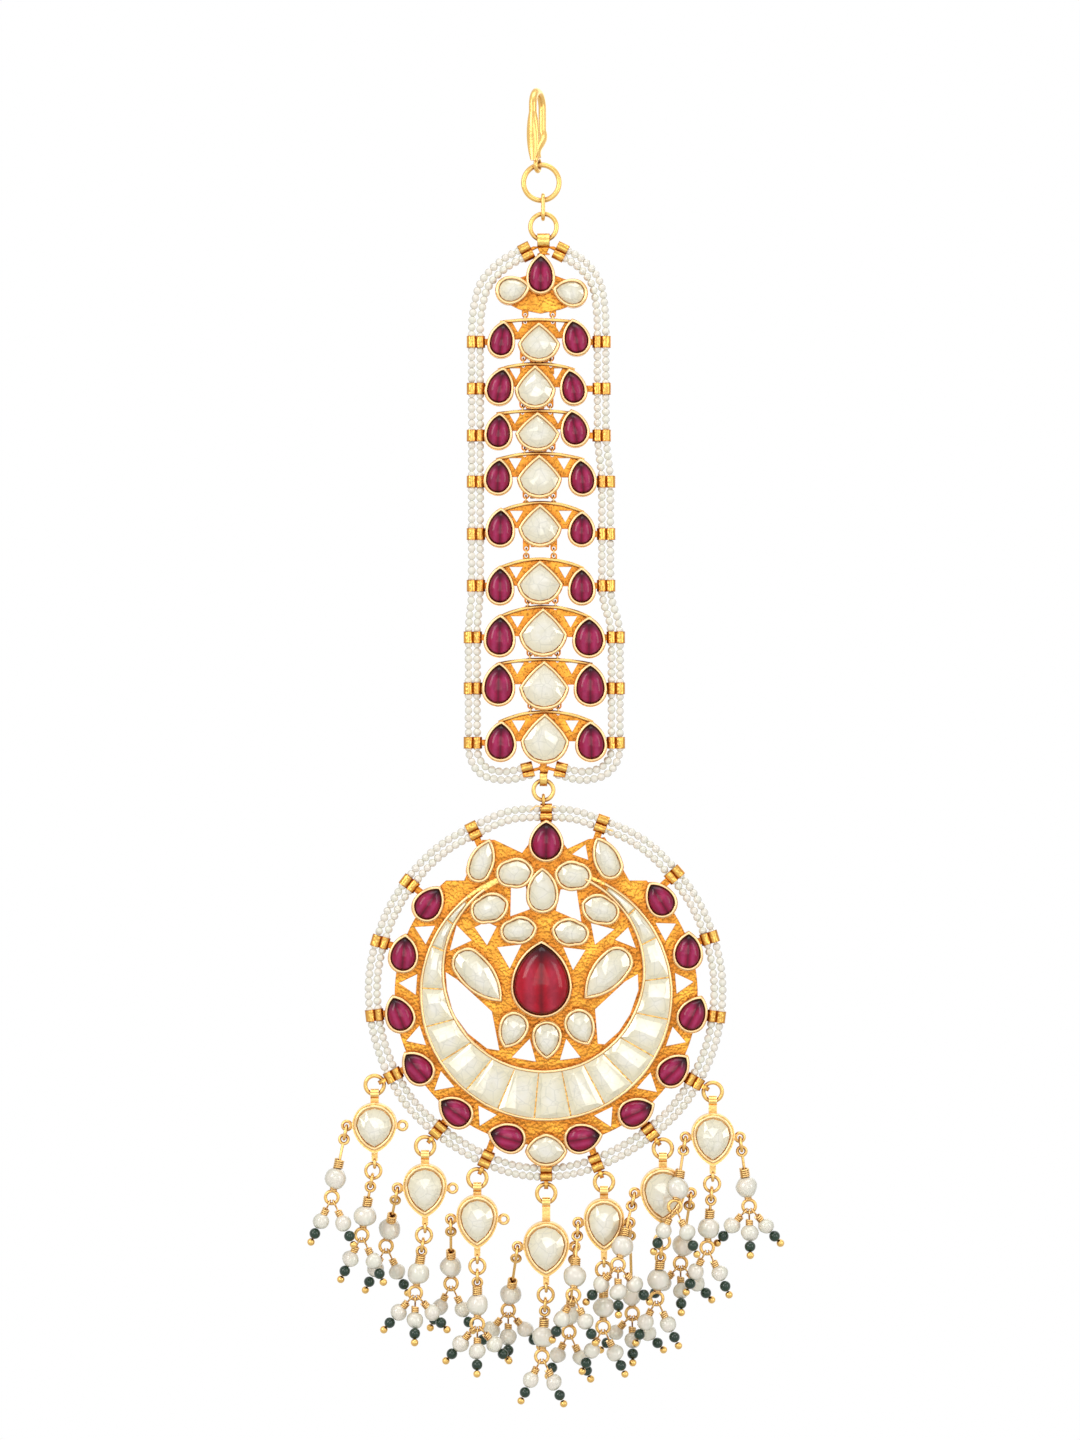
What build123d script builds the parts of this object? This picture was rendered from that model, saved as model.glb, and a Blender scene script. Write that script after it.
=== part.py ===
from build123d import *
from collections import namedtuple
from math import asin, cos, degrees, hypot, pi, radians, sin, tan
import os

# Maang tikka, in millimetres. +Z is up, the front faces -Y, X runs to the wearer's left.
# The origin is the point where the hook bears on the hair or on the pin that holds it.
# Every flat piece is drawn in the front plane: a sketch holds (x, z), and its height is towards the front.

# ---------------------------------------------------------------- driving dimensions
PLATE_BACK = -0.35          # rear face of the plates
PLATE_FRONT = 0.35          # front face of the plates
BEZEL_TOP = 1.15            # top of the bezel walls
BEZEL_WALL = 0.42           # thickness of a bezel wall
STONE_GAP = 0.07            # play between a stone and its bezel
STONE_BED = PLATE_FRONT + 0.08
RUBY_DOME = 0.95            # rise of a ruby above its bezel
POLKI_CROWN = 0.6           # rise of a flat-cut stone above its bezel

STRAND = 1.0                # diameter of one strand of seed pearls
STRAND_PITCH = 1.24         # distance between the two strands of a pair
TUBE_OUTER = 1.46           # small gold tubes that the strands pass through
TUBE_BORE = 1.12
TUBE_LENGTH = 1.7

HOOK_WIRE = 1.2
HOOK_BEND = 2.2             # radius of the hook's bend at the middle of its wire
HOOK_TURN = 18.0            # the hook is turned by this much about Z
HOOK_EYE_Z = -9.95
HOOK_EYE_RADIUS = 0.9
HOOK_EYE_WIRE = 0.66
# Depth below the wire's end, width and thickness of the leaf that the hook's tip is hammered into.
HOOK_LEAF = ((-0.8, 1.0, 1.0), (0, 1.34, 1.28), (3.0, 1.85, 1.0), (6.6, 0.7, 0.6))
HOOK_RING = (0.2, -12.55, 2.58, 0.76)       # x, z, mean radius, wire
STRAP_RING = (0.5, -18.98, 1.9, 0.68)
PENDANT_RING = (0.5, -100.8, 1.44, 0.62)
LINK_X, LINK_TOP, LINK_BOTTOM = 0.45, -14.36, -17.83    # the link's outline, at the middle of its wire
LINK_HALF = 0.78            # half width of the link
LINK_THICK = 0.6

HEAD_BAIL_Z = -21.0
BAIL_OUTER, BAIL_BORE = 1.1, 0.75
END_BAIL_Z = -99.13
SWING_Z = PENDANT_RING[1] - PENDANT_RING[2]  # the pendant swings about this line

MEDAL = (0.9, -130.4)       # centre of the medallion
CRESCENT_OUTER = 18.4
CRESCENT_INNER_CENTRE = (0.5, -127.0)
CRESCENT_INNER = 14.35
RIM_RADIUS = 22.0
RIM_STONES_AT = 21.5
RIM_TOP_Z = -113.9

os.makedirs("parts", exist_ok=True)


# ---------------------------------------------------------------- outlines
def arc_points(start, end, sagitta, count):
    """Points inside the arc from start to end that bulges to the right of the way by the sagitta."""
    start, end = Vector(*start), Vector(*end)
    half = (end - start).length / 2
    along = (end - start).normalized()
    right = Vector(along.Y, -along.X)
    radius = (half**2 + sagitta**2) / (2 * sagitta)
    centre = (start + end) * 0.5 + right * (sagitta - radius)
    sweep = asin(min(1.0, half / radius))
    if sagitta > half:
        sweep = pi - sweep
    points = []
    for step in range(1, count + 1):
        angle = sweep * (2 * step / (count + 1) - 1)
        point = centre + right * (radius * cos(angle)) + along * (radius * sin(angle))
        points.append((point.X, point.Y))
    return points


def petal_corners(width, length, full):
    """Waist points, tip, depth of the round end and bulge of the long sides of a centred petal."""
    waist = min(width / 2, 0.45 * length)
    left = (-width / 2, waist - length / 2)
    right = (width / 2, waist - length / 2)
    bulge = full * hypot(width / 2, length - waist)
    return left, right, (0, length / 2), waist, bulge


class Petal(BaseSketchObject):
    """A teardrop of three arcs, round at the bottom and pointed at the top."""

    def __init__(self, width, length, full, rotation=0, mode=Mode.ADD):
        left, right, tip, _, bulge = petal_corners(width, length, full)
        with BuildSketch() as outline:
            with BuildLine():
                ThreePointArc(left, (0, -length / 2), right)
                ThreePointArc(right, arc_points(right, tip, bulge, 1)[0], tip)
                ThreePointArc(tip, arc_points(tip, left, bulge, 1)[0], left)
            make_face()
        super().__init__(obj=outline.sketch, rotation=rotation, align=None, mode=mode)


class CutPetal(BaseSketchObject):
    """The same teardrop with twelve straight sides, for a stone that is cut in facets."""

    def __init__(self, width, length, full, rotation=0, mode=Mode.ADD):
        left, right, tip, waist, bulge = petal_corners(width, length, full)
        points = [left, *arc_points(left, right, waist, 5), right]
        points += [*arc_points(right, tip, bulge, 2), tip, *arc_points(tip, left, bulge, 2)]
        with BuildSketch() as outline:
            Polygon(*points, align=None)
        super().__init__(obj=outline.sketch, rotation=rotation, align=None, mode=mode)


# A stone lies at (x, z), and turn is the direction of its tip, counterclockwise from straight up.
# Full is how far its long sides bulge: small for straight sides, large for a blunt, oval stone.
Stone = namedtuple("Stone", "x z width length turn full", defaults=(0.14,))
SPADE = 0.05
OVAL = 0.25
LEAF = 0.12


def front(height):
    """The front plane at a height towards the viewer."""
    return Plane.XZ.offset(height)


def ruby(stone, rise=RUBY_DOME):
    """Adds a domed stone to the part being built."""
    base = STONE_BED
    top = BEZEL_TOP + rise
    levels = ((base, 1.0), (BEZEL_TOP, 0.98), (BEZEL_TOP + 0.55 * rise, 0.8), (top, 0.36))
    sections = []
    for height, scale in levels:
        with BuildSketch(front(height)) as section:
            with Locations((stone.x, stone.z)):
                Petal(stone.width * scale, stone.length * scale, stone.full, rotation=stone.turn)
        sections.append(section.sketch.face())
    loft(sections)


def polki(stone, rise=POLKI_CROWN):
    """Adds a flat-cut stone with a table, a girdle and twelve crown facets to the part being built."""
    levels = ((STONE_BED, 1.0), (BEZEL_TOP, 1.0), (BEZEL_TOP + rise, 0.56))
    sections = []
    for height, scale in levels:
        with BuildSketch(front(height)) as section:
            with Locations((stone.x, stone.z)):
                CutPetal(stone.width * scale, stone.length * scale, stone.full, rotation=stone.turn)
        sections.append(section.sketch.face())
    loft(sections, ruled=True)


def bezels(stones, wall=BEZEL_WALL, bottom=PLATE_BACK):
    """Adds a closed-backed bezel round each stone to the part being built."""
    grow = 2 * (wall + STONE_GAP)
    with BuildSketch(front(bottom)) as rims:
        for stone in stones:
            with Locations((stone.x, stone.z)):
                Petal(stone.width + grow, stone.length + grow * 1.15, stone.full, rotation=stone.turn)
    extrude(rims.sketch, amount=BEZEL_TOP - bottom)


def stone_seats(stones):
    """Cuts the beds of the stones into the part being built."""
    grow = 2 * STONE_GAP
    with BuildSketch(front(PLATE_FRONT)) as beds:
        for stone in stones:
            with Locations((stone.x, stone.z)):
                Petal(stone.width + grow, stone.length + grow, stone.full, rotation=stone.turn)
    extrude(beds.sketch, amount=BEZEL_TOP, mode=Mode.SUBTRACT)


def ring(x, z, radius, wire, y=0.0, normal=(0, 1, 0)):
    """Adds a round wire ring to the part being built."""
    with Locations(Plane(origin=(x, y, z), z_dir=normal)):
        Torus(radius, wire / 2)


def strand_tubes(x, z, along):
    """Adds the two short tubes that a pair of strands passes through, side by side."""
    heading = Vector(along[0], 0, along[1]).normalized()
    across = Vector(heading.Z, 0, -heading.X)
    plane = Plane(origin=(x, 0, z), x_dir=across, z_dir=heading)
    offsets = ((-STRAND_PITCH / 2, 0), (STRAND_PITCH / 2, 0))
    with BuildSketch(plane) as walls:
        with Locations(*offsets):
            Circle(TUBE_OUTER / 2)
    extrude(walls.sketch, amount=TUBE_LENGTH / 2, both=True)
    return plane, offsets


def bore_tubes(tubes):
    for plane, offsets in tubes:
        with BuildSketch(plane) as bores:
            with Locations(*offsets):
                Circle(TUBE_BORE / 2)
        extrude(bores.sketch, amount=TUBE_LENGTH, both=True, mode=Mode.SUBTRACT)


def keep(piece, name):
    piece.part.label = name
    export_step(piece.part, f"parts/{name}.step")


# ---------------------------------------------------------------- strands
def beside(points, shift):
    """The same route moved sideways, to the right of its way, with mitred corners."""
    moved = []
    for index, point in enumerate(points):
        here = Vector(*point)
        before = Vector(*points[max(index - 1, 0)])
        after = Vector(*points[min(index + 1, len(points) - 1)])
        way_in = (here - before).normalized() if index else (after - here).normalized()
        way_out = (after - here).normalized() if index < len(points) - 1 else way_in
        normal = Vector(way_in.Y + way_out.Y, -way_in.X - way_out.X).normalized()
        miter = normal.X * way_in.Y - normal.Y * way_in.X
        place = here + normal * (shift / miter)
        moved.append((place.X, place.Y))
    return moved


def bend_radii(points):
    """One radius for each corner: 0.45 of the shorter run over the tangent of half the turn."""
    radii = []
    for before, here, after in zip(points, points[1:], points[2:]):
        way_in = Vector(*here) - Vector(*before)
        way_out = Vector(*after) - Vector(*here)
        turn = radians(way_in.get_angle(way_out))
        shorter = min(way_in.length, way_out.length)
        radii.append(0.45 * shorter / tan(turn / 2))
    return radii


def strand(points):
    """Adds a tube along a route of straight runs joined by tangent arcs."""
    with BuildLine(Plane.XZ) as route:
        FilletPolyline(*points, radius=bend_radii(points))
    with BuildSketch(Plane(origin=route.line @ 0, z_dir=route.line % 0)) as section:
        Circle(STRAND / 2)
    sweep(section.sketch, path=route.line)


# ---------------------------------------------------------------- hook and top rings
with BuildPart() as hook:
    plane = Plane(origin=(-0.35, 0, 0), x_dir=(sin(radians(HOOK_TURN)), cos(radians(HOOK_TURN)), 0),
                  z_dir=(cos(radians(HOOK_TURN)), -sin(radians(HOOK_TURN)), 0))
    bend_z = HOOK_WIRE / 2 - HOOK_BEND
    with BuildLine(plane) as shank:
        eye_top = (0, HOOK_EYE_Z + HOOK_EYE_RADIUS)
        Spline(eye_top, (HOOK_BEND, bend_z - 3.2), tangents=((0, 1), (0, 1)), tangent_scalars=(1.2, 1.2))
        Line((HOOK_BEND, bend_z - 3.2), (HOOK_BEND, bend_z))
        ThreePointArc((HOOK_BEND, bend_z), (0, bend_z + HOOK_BEND), (-HOOK_BEND, bend_z))
        Line((-HOOK_BEND, bend_z), (-HOOK_BEND, bend_z - 1.4))
    with BuildSketch(Plane(origin=shank.line @ 0, z_dir=shank.line % 0)):
        Circle(HOOK_WIRE / 2)
    sweep()
    tip_plane = Plane(origin=shank.line @ 1, x_dir=plane.z_dir, z_dir=(0, 0, -1))
    for depth, wide, thick in HOOK_LEAF:
        with BuildSketch(tip_plane.offset(depth)):
            Ellipse(wide / 2, thick / 2)
    loft()
    eye_middle = plane.from_local_coords((0, HOOK_EYE_Z))
    with Locations(Plane(origin=eye_middle, x_dir=plane.x_dir, z_dir=plane.z_dir)):
        Torus(HOOK_EYE_RADIUS, HOOK_EYE_WIRE / 2)
keep(hook, "hook")

with BuildPart() as hook_ring:
    ring(*HOOK_RING)
keep(hook_ring, "hook_ring")

with BuildPart() as hook_link:
    straight = (LINK_TOP - LINK_BOTTOM) / 2 - LINK_HALF
    middle = (LINK_TOP + LINK_BOTTOM) / 2
    with BuildLine(Plane.YZ.offset(LINK_X)) as oval:
        low, high = middle - straight, middle + straight
        Line((LINK_HALF, low), (LINK_HALF, high))
        ThreePointArc((LINK_HALF, high), (0, high + LINK_HALF), (-LINK_HALF, high))
        Line((-LINK_HALF, high), (-LINK_HALF, low))
        ThreePointArc((-LINK_HALF, low), (0, low - LINK_HALF), (LINK_HALF, low))
    with BuildSketch(Plane(origin=oval.line @ 0, z_dir=oval.line % 0)):
        Circle(LINK_THICK / 2)
    sweep()
keep(hook_link, "hook_link")

with BuildPart() as strap_ring:
    ring(*STRAP_RING)
keep(strap_ring, "strap_ring")

with BuildPart() as pendant_ring:
    ring(*PENDANT_RING)
keep(pendant_ring, "pendant_ring")

# ---------------------------------------------------------------- strap
# Places of the three stones of each bar. Each ruby's tip leans by its turn.
Bar = namedtuple("Bar", "centre left right tubes_left tubes_right tubes_z")
BARS = (
    Bar(Stone(-0.15, -35.8, 5.2, 4.7, 0, SPADE), Stone(-5.55, -35.4, 3.1, 4.4, -8),
        Stone(5.2, -35.1, 3.2, 4.4, 12), -9.3, 8.95, -35.7),
    Bar(Stone(-0.7, -42.3, 5.0, 5.3, 0, SPADE), Stone(-5.8, -42.2, 3.3, 4.6, -12),
        Stone(4.75, -42.3, 3.0, 4.4, 12), -9.3, 8.95, -42.5),
    Bar(Stone(-0.35, -48.8, 5.5, 4.65, 0, SPADE), Stone(-6.0, -48.7, 3.2, 4.4, -4),
        Stone(5.0, -48.3, 3.3, 4.5, 10), -9.3, 8.95, -49.3),
    Bar(Stone(-0.1, -55.3, 5.6, 5.3, 0, SPADE), Stone(-6.05, -55.3, 3.3, 4.4, -4),
        Stone(6.1, -55.4, 3.2, 4.5, 6), -9.3, 9.6, -56.0),
    Bar(Stone(0.0, -62.4, 5.4, 5.2, 0, SPADE), Stone(-5.75, -62.7, 3.4, 4.7, -2),
        Stone(6.05, -62.9, 3.1, 4.2, -2), -9.3, 9.6, -63.6),
    Bar(Stone(0.0, -70.65, 5.8, 5.3, 0, SPADE), Stone(-5.8, -71.1, 3.2, 4.7, 0),
        Stone(6.05, -71.2, 3.1, 4.5, 0), -9.3, 9.6, -71.1),
    Bar(Stone(0.45, -77.9, 6.1, 6.0, 0, SPADE), Stone(-5.85, -78.4, 3.7, 5.2, -2),
        Stone(7.1, -78.6, 3.9, 5.0, 0), -9.75, 11.0, -78.6),
    Bar(Stone(0.6, -85.6, 6.3, 6.1, 0, SPADE), Stone(-6.0, -85.4, 3.9, 5.4, -2),
        Stone(7.3, -85.5, 3.9, 5.3, 0), -9.75, 11.0, -86.0),
    Bar(Stone(0.7, -93.3, 6.1, 6.3, 0, SPADE), Stone(-5.7, -93.7, 3.7, 4.9, -2),
        Stone(7.4, -93.7, 3.7, 4.9, 2), -9.75, 11.0, -93.9),
)
SPANDREL_AT = 0.6           # place of a spandrel hole between the bar's middle and its ruby's tip
SPANDREL_DROP = 0.45
SPANDREL = 1.9              # side of a spandrel hole
FLANGE = 1.3                # half width of the flange under a bar's middle stone
LUG_SPREAD = 2.0            # the two lugs of a bar stand this far from its middle
LUG_HOLE = 0.5
LUG_RIM = 0.24
LUG_THICK = 0.34
LINK_RADIUS = 0.56
LINK_WIRE = 0.26


def stone_top(stone):
    return stone.z + stone.length / 2


def stone_foot(stone):
    return stone.z - stone.length / 2


def stone_tip(stone):
    half = stone.length / 2
    return stone.x - half * sin(radians(stone.turn)), stone.z + half * cos(radians(stone.turn))


def lug(x, z, reach):
    """Adds a small drilled tab, with its root reaching back by the signed length."""
    with BuildSketch(front(-LUG_THICK / 2)) as tab:
        with Locations((x, z)):
            Circle(LUG_HOLE / 2 + LUG_RIM)
        with Locations((x, z + reach / 2)):
            Rectangle(LUG_HOLE + 2 * LUG_RIM, abs(reach))
    extrude(tab.sketch, amount=LUG_THICK)


def lug_hole(x, z):
    with Locations(Plane(origin=(x, 0, z), z_dir=(0, 1, 0))):
        Hole(LUG_HOLE / 2, depth=2)


def joint_between(upper, lower):
    """Middle (x, z) of the pair of rings between two bars, just over the lower bar's arch."""
    x = (upper.centre.x + lower.centre.x) / 2
    return x, (stone_foot(upper.centre) + stone_top(lower.centre)) / 2 + 0.28


def bar_lugs(above, below):
    """The lugs of a bar, as (x, z, root), from the joints above and below it."""
    places = []
    for side in (-LUG_SPREAD, LUG_SPREAD):
        if above:
            places.append((above[0] + side, above[1] - LINK_RADIUS, -1.2))
        if below:
            places.append((below[0] + side, below[1] + LINK_RADIUS, 1.5))
    return places


def strap_bar(number, bar, above, below):
    """One pierced bar: an arched plate, three bezels, two spandrel holes, four lugs, four tubes."""
    stones = (bar.left, bar.centre, bar.right)
    with BuildPart() as piece:
        arch_z = stone_top(bar.centre) + 0.75
        left_x = stone_tip(bar.left)[0] - 0.3
        right_x = stone_tip(bar.right)[0] + 0.3
        shoulder = min(stone_top(bar.left), stone_top(bar.right)) + 0.2
        with BuildSketch(front(PLATE_BACK)) as plate:
            with BuildLine():
                ThreePointArc((left_x, shoulder), (bar.centre.x, arch_z), (right_x, shoulder))
                Line((right_x, shoulder), (bar.right.x, bar.right.z))
                Line((bar.right.x, bar.right.z), (bar.left.x, bar.left.z))
                Line((bar.left.x, bar.left.z), (left_x, shoulder))
            make_face()
            for ruby_stone in (bar.left, bar.right):
                hole_x = bar.centre.x + SPANDREL_AT * (stone_tip(ruby_stone)[0] - bar.centre.x)
                with Locations((hole_x, shoulder - SPANDREL_DROP)):
                    Triangle(a=SPANDREL, b=SPANDREL, c=SPANDREL, align=(Align.CENTER, Align.CENTER),
                             rotation=180, mode=Mode.SUBTRACT)
            foot = stone_foot(bar.centre)
            middle = bar.centre.x
            Polygon((middle - FLANGE - 0.5, foot + 1.3), (middle - FLANGE, foot - 0.5),
                    (middle + FLANGE, foot - 0.5), (middle + FLANGE + 0.5, foot + 1.3), align=None)
        extrude(plate.sketch, amount=PLATE_FRONT - PLATE_BACK)
        bezels(stones)
        tubes = []
        for tubes_x, neck_x in ((bar.tubes_left, bar.left.x), (bar.tubes_right, bar.right.x)):
            side = 1 if neck_x > tubes_x else -1
            root = tubes_x + side * (STRAND_PITCH / 2 + TUBE_OUTER / 2 - 0.12)
            with Locations(((root + neck_x) / 2, 0, bar.tubes_z)):
                Box(abs(root - neck_x), 0.6, 0.9)
            tubes.append(strand_tubes(tubes_x, bar.tubes_z, (0, 1)))
        places = bar_lugs(above, below)
        for x, z, reach in places:
            lug(x, z, reach)
        if not below:
            tubes += end_bail(bar)
        stone_seats(stones)
        bore_tubes(tubes)
        for x, z, reach in places:
            lug_hole(x, z)
    keep(piece, f"strap_bar_{number}")


def bail_tube(x, z, width, outer=BAIL_OUTER, bore=BAIL_BORE):
    with Locations(Plane(origin=(x, 0, z), z_dir=(1, 0, 0))):
        Cylinder(outer, width)
        Hole(bore, depth=4)


def end_bail(bar):
    """The narrow eye under the last bar that holds the pendant's ring, with the strands' last tubes."""
    neck_z = stone_foot(bar.centre) - 0.8
    with Locations((0.5, 0, (neck_z + END_BAIL_Z) / 2 + 0.6)):
        Box(1.0, 0.9, neck_z - END_BAIL_Z)
    left = strand_tubes(-1.75, -98.057, (-1, -0.244))
    right = strand_tubes(2.95, -98.058, (1, -0.251))
    with Locations((0.6, 0, -97.85)):
        Box(3.6, 0.8, 1.1)
    bail_tube(0.5, END_BAIL_Z, 1.1)
    return [left, right]


JOINTS = [joint_between(upper, lower) for upper, lower in zip(BARS, BARS[1:])]
HEAD_STONES = (Stone(-3.9, -28.2, 3.2, 4.1, -78), Stone(4.35, -28.6, 3.2, 4.1, 78))
HEAD_RUBY = Stone(0.1, -25.9, 3.3, 4.9, 0)
JOINTS.insert(0, (BARS[0].centre.x, stone_top(BARS[0].centre) + 1.15))

for number, bar in enumerate(BARS, start=1):
    strap_bar(number, bar, JOINTS[number - 1], JOINTS[number] if number < len(JOINTS) else None)

with BuildPart() as strap_head:
    with BuildSketch(front(PLATE_BACK)):
        Polygon((-6.3, -27.6), (-1.8, -26.0), (2.0, -26.0), (6.8, -27.8), (6.6, -29.6), (3.0, -31.0),
                (0.1, -31.6), (-3.0, -31.0), (-6.2, -29.4), align=None)
        Polygon((0.3, -22.2), (2.6, -27.0), (0.1, -31.1), (-2.6, -27.0), align=None)
    extrude(amount=PLATE_FRONT - PLATE_BACK)
    bezels((*HEAD_STONES, HEAD_RUBY))
    with Locations((0.5, 0, -22.4)):
        Box(1.8, 0.8, 1.3)
    with Locations((0.5, 0, -22.3)):
        Box(4.4, 0.8, 0.9)
    bail_tube(0.5, HEAD_BAIL_Z, 1.8)
    head_tubes = [strand_tubes(-2.0, -22.6, (-1, -0.5)), strand_tubes(3.0, -22.6, (1, -0.5))]
    head_lugs = bar_lugs(None, JOINTS[0])
    for x, z, reach in head_lugs:
        lug(x, z, reach)
    stone_seats((*HEAD_STONES, HEAD_RUBY))
    bore_tubes(head_tubes)
    for x, z, reach in head_lugs:
        lug_hole(x, z)
keep(strap_head, "strap_head")

with BuildPart() as strap_head_ruby:
    ruby(HEAD_RUBY)
keep(strap_head_ruby, "strap_head_ruby")

with BuildPart() as strap_head_stones:
    for stone in HEAD_STONES:
        polki(stone)
keep(strap_head_stones, "strap_head_stones")

with BuildPart() as strap_centre_stones:
    for bar in BARS:
        polki(bar.centre)
keep(strap_centre_stones, "strap_centre_stones")

with BuildPart() as strap_rubies_left:
    for bar in BARS:
        ruby(bar.left)
keep(strap_rubies_left, "strap_rubies_left")

with BuildPart() as strap_rubies_right:
    for bar in BARS:
        ruby(bar.right)
keep(strap_rubies_right, "strap_rubies_right")

with BuildPart() as strap_links:
    for x, z in JOINTS:
        for side in (-LUG_SPREAD, LUG_SPREAD):
            ring(x + side, z, LINK_RADIUS, LINK_WIRE, normal=(1, 0, 0))
keep(strap_links, "strap_links")

LEFT_ROUTE = ((-1.9, -22.55), (-5.2, -24.2), (-8.25, -27.2), (-9.3, -32.0), (-9.3, -72.9), (-9.75, -76.6),
              (-9.75, -95.8), (-8.4, -98.1), (-5.2, -98.9), (-1.6, -98.02))
RIGHT_ROUTE = ((2.9, -22.55), (5.9, -24.05), (8.3, -27.0), (8.95, -31.5), (8.95, -50.4), (9.6, -54.6),
               (9.6, -72.9), (11.0, -76.9), (11.0, -95.9), (9.5, -98.1), (6.3, -98.9), (2.8, -98.02))

with BuildPart() as strap_pearls_left:
    for shift in (-STRAND_PITCH / 2, STRAND_PITCH / 2):
        strand(beside(LEFT_ROUTE, shift))
keep(strap_pearls_left, "strap_pearls_left")

with BuildPart() as strap_pearls_right:
    for shift in (-STRAND_PITCH / 2, STRAND_PITCH / 2):
        strand(beside(RIGHT_ROUTE, shift))
keep(strap_pearls_right, "strap_pearls_right")

# ---------------------------------------------------------------- medallion
def polar(radius, angle, centre=MEDAL):
    return centre[0] + radius * cos(radians(angle)), centre[1] + radius * sin(radians(angle))


def rim_stone(at, tip, width=3.5, length=4.7):
    x, z = polar(RIM_STONES_AT, at)
    return Stone(x, z, width, length, tip - 90)


# Rim rubies: place round the medallion and direction of the tip, both in degrees from +X.
RimRuby = namedtuple("RimRuby", "at tip")
RIM_LEFT = (RimRuby(142, 56), RimRuby(164, 84), RimRuby(187.5, 110), RimRuby(209.5, 131), RimRuby(232, 143),
            RimRuby(254.5, 163))
RIM_RIGHT = (RimRuby(40, 122), RimRuby(17, 87), RimRuby(-7.5, 63), RimRuby(-30.5, 45), RimRuby(-52.5, 25),
             RimRuby(-75.5, 11))
RIM_STONES_LEFT = [rim_stone(*row) for row in RIM_LEFT]
RIM_STONES_RIGHT = [rim_stone(*row) for row in RIM_RIGHT]
DOME = Stone(0.9, -152.95, 5.2, 3.8, 0)
CENTRE_RUBY = Stone(0.2, -128.2, 8.0, 10.2, 0)
CROWN_RUBY = Stone(0.9, -108.15, 4.2, 5.1, 0)
LATTICE = (
    Stone(-8.4, -111.0, 2.7, 5.6, -20),         # shoulder, left
    Stone(9.6, -110.6, 2.9, 5.6, 25),           # shoulder, right
    Stone(-3.65, -112.8, 3.1, 4.6, -84, OVAL),  # upper pair
    Stone(4.8, -113.2, 3.1, 4.5, 84, OVAL),
    Stone(0.35, -115.3, 3.8, 5.7, 0),           # drop over the ruby
    Stone(-7.3, -117.9, 3.0, 4.8, -70, OVAL),   # middle pair
    Stone(8.75, -118.1, 3.0, 4.8, 70, OVAL),
    Stone(-3.1, -121.1, 2.6, 4.5, -80, OVAL),   # lower pair
    Stone(4.4, -121.4, 2.6, 4.6, 80, OVAL),
    Stone(-8.8, -127.8, 3.8, 8.8, -138, LEAF),  # large pair beside the ruby
    Stone(9.6, -127.5, 3.8, 8.4, 138, LEAF),
    Stone(-4.0, -135.6, 3.4, 4.6, 155),         # three under the ruby
    Stone(1.0, -137.0, 3.5, 4.6, 180),
    Stone(5.9, -135.2, 3.5, 4.6, 205),
)
# Directions of the walls between the crescent's stones, in degrees about the medallion's centre.
CRESCENT_WALLS = (60, 44, 27.5, 8, -11.5, -30, -46, -62, -78.5, -95.5, -113, -130, -147.5, -165, -183, -203,
                  -217, -229)
CRESCENT_WALL = 0.5


def channel_ends(angle):
    """Where a ray from the medallion's centre meets the inner and the outer wall of the crescent."""
    heading = Vector(cos(radians(angle)), sin(radians(angle)))
    offset = Vector(MEDAL[0] - CRESCENT_INNER_CENTRE[0], MEDAL[1] - CRESCENT_INNER_CENTRE[1])
    along = offset.dot(heading)
    inner = CRESCENT_INNER + CRESCENT_WALL
    near = -along + (along**2 - offset.dot(offset) + inner**2) ** 0.5
    return near, CRESCENT_OUTER - CRESCENT_WALL


def crescent_outline(start, stop, inset):
    """Corners of one crescent stone between two walls, drawn in by the inset."""
    near_mid, far_mid = channel_ends((start + stop) / 2)
    margin = degrees((inset + 0.16) / ((near_mid + far_mid) / 2))
    angles = [start - margin + (stop - start + 2 * margin) * step / 3 for step in range(4)]
    outer = [polar(channel_ends(angle)[1] - inset, angle) for angle in angles]
    inner = [polar(channel_ends(angle)[0] + inset, angle) for angle in reversed(angles)]
    return outer + inner


def crescent_stone(start, stop):
    tight = min(channel_ends(angle)[1] - channel_ends(angle)[0] for angle in (start, stop))
    slope = min(0.6, 0.3 * tight)
    sections = []
    for height, inset in ((STONE_BED, STONE_GAP), (BEZEL_TOP, STONE_GAP), (BEZEL_TOP + 0.5, slope)):
        with BuildSketch(front(height)) as section:
            Polygon(*crescent_outline(start, stop, inset), align=None)
        sections.append(section.sketch.face())
    loft(sections, ruled=True)


def rim_holes():
    """Angles of the triangular holes between the rim stones."""
    left = [(one.at + two.at) / 2 for one, two in zip(RIM_LEFT, RIM_LEFT[1:])]
    right = [(one.at + two.at) / 2 for one, two in zip(RIM_RIGHT, RIM_RIGHT[1:])]
    return left + right


# The strands run round the medallion through a pair of tubes at each of these places.
Post = namedtuple("Post", "at radius")
POSTS = (Post(72, 25.9), Post(43, 25.5), Post(19, 25.0), Post(-7.5, 24.8), Post(-30.5, 25.1), Post(-53, 25.0),
         Post(-73.5, 25.2), Post(-90, 26.6), Post(-110, 25.2), Post(-128.5, 25.2), Post(-152, 25.2),
         Post(-173, 25.0), Post(-197.5, 25.2), Post(-219, 25.6), Post(-246, 25.9))
TOP_POST = Post(90, 26.35)
LUG_POSTS = (-152, -128.5, -110, -90, -73.5, -53, -30.5)


def loop_corners():
    """Corners of the strands' route: between each two posts, on tangents that touch both."""
    around = [TOP_POST, *POSTS, Post(TOP_POST.at - 360, TOP_POST.radius)]
    corners = []
    for one, two in zip(around, around[1:]):
        half = radians(abs(one.at - two.at) / 2)
        corners.append(polar((one.radius + two.radius) / 2 / cos(half), (one.at + two.at) / 2))
    return corners


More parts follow.
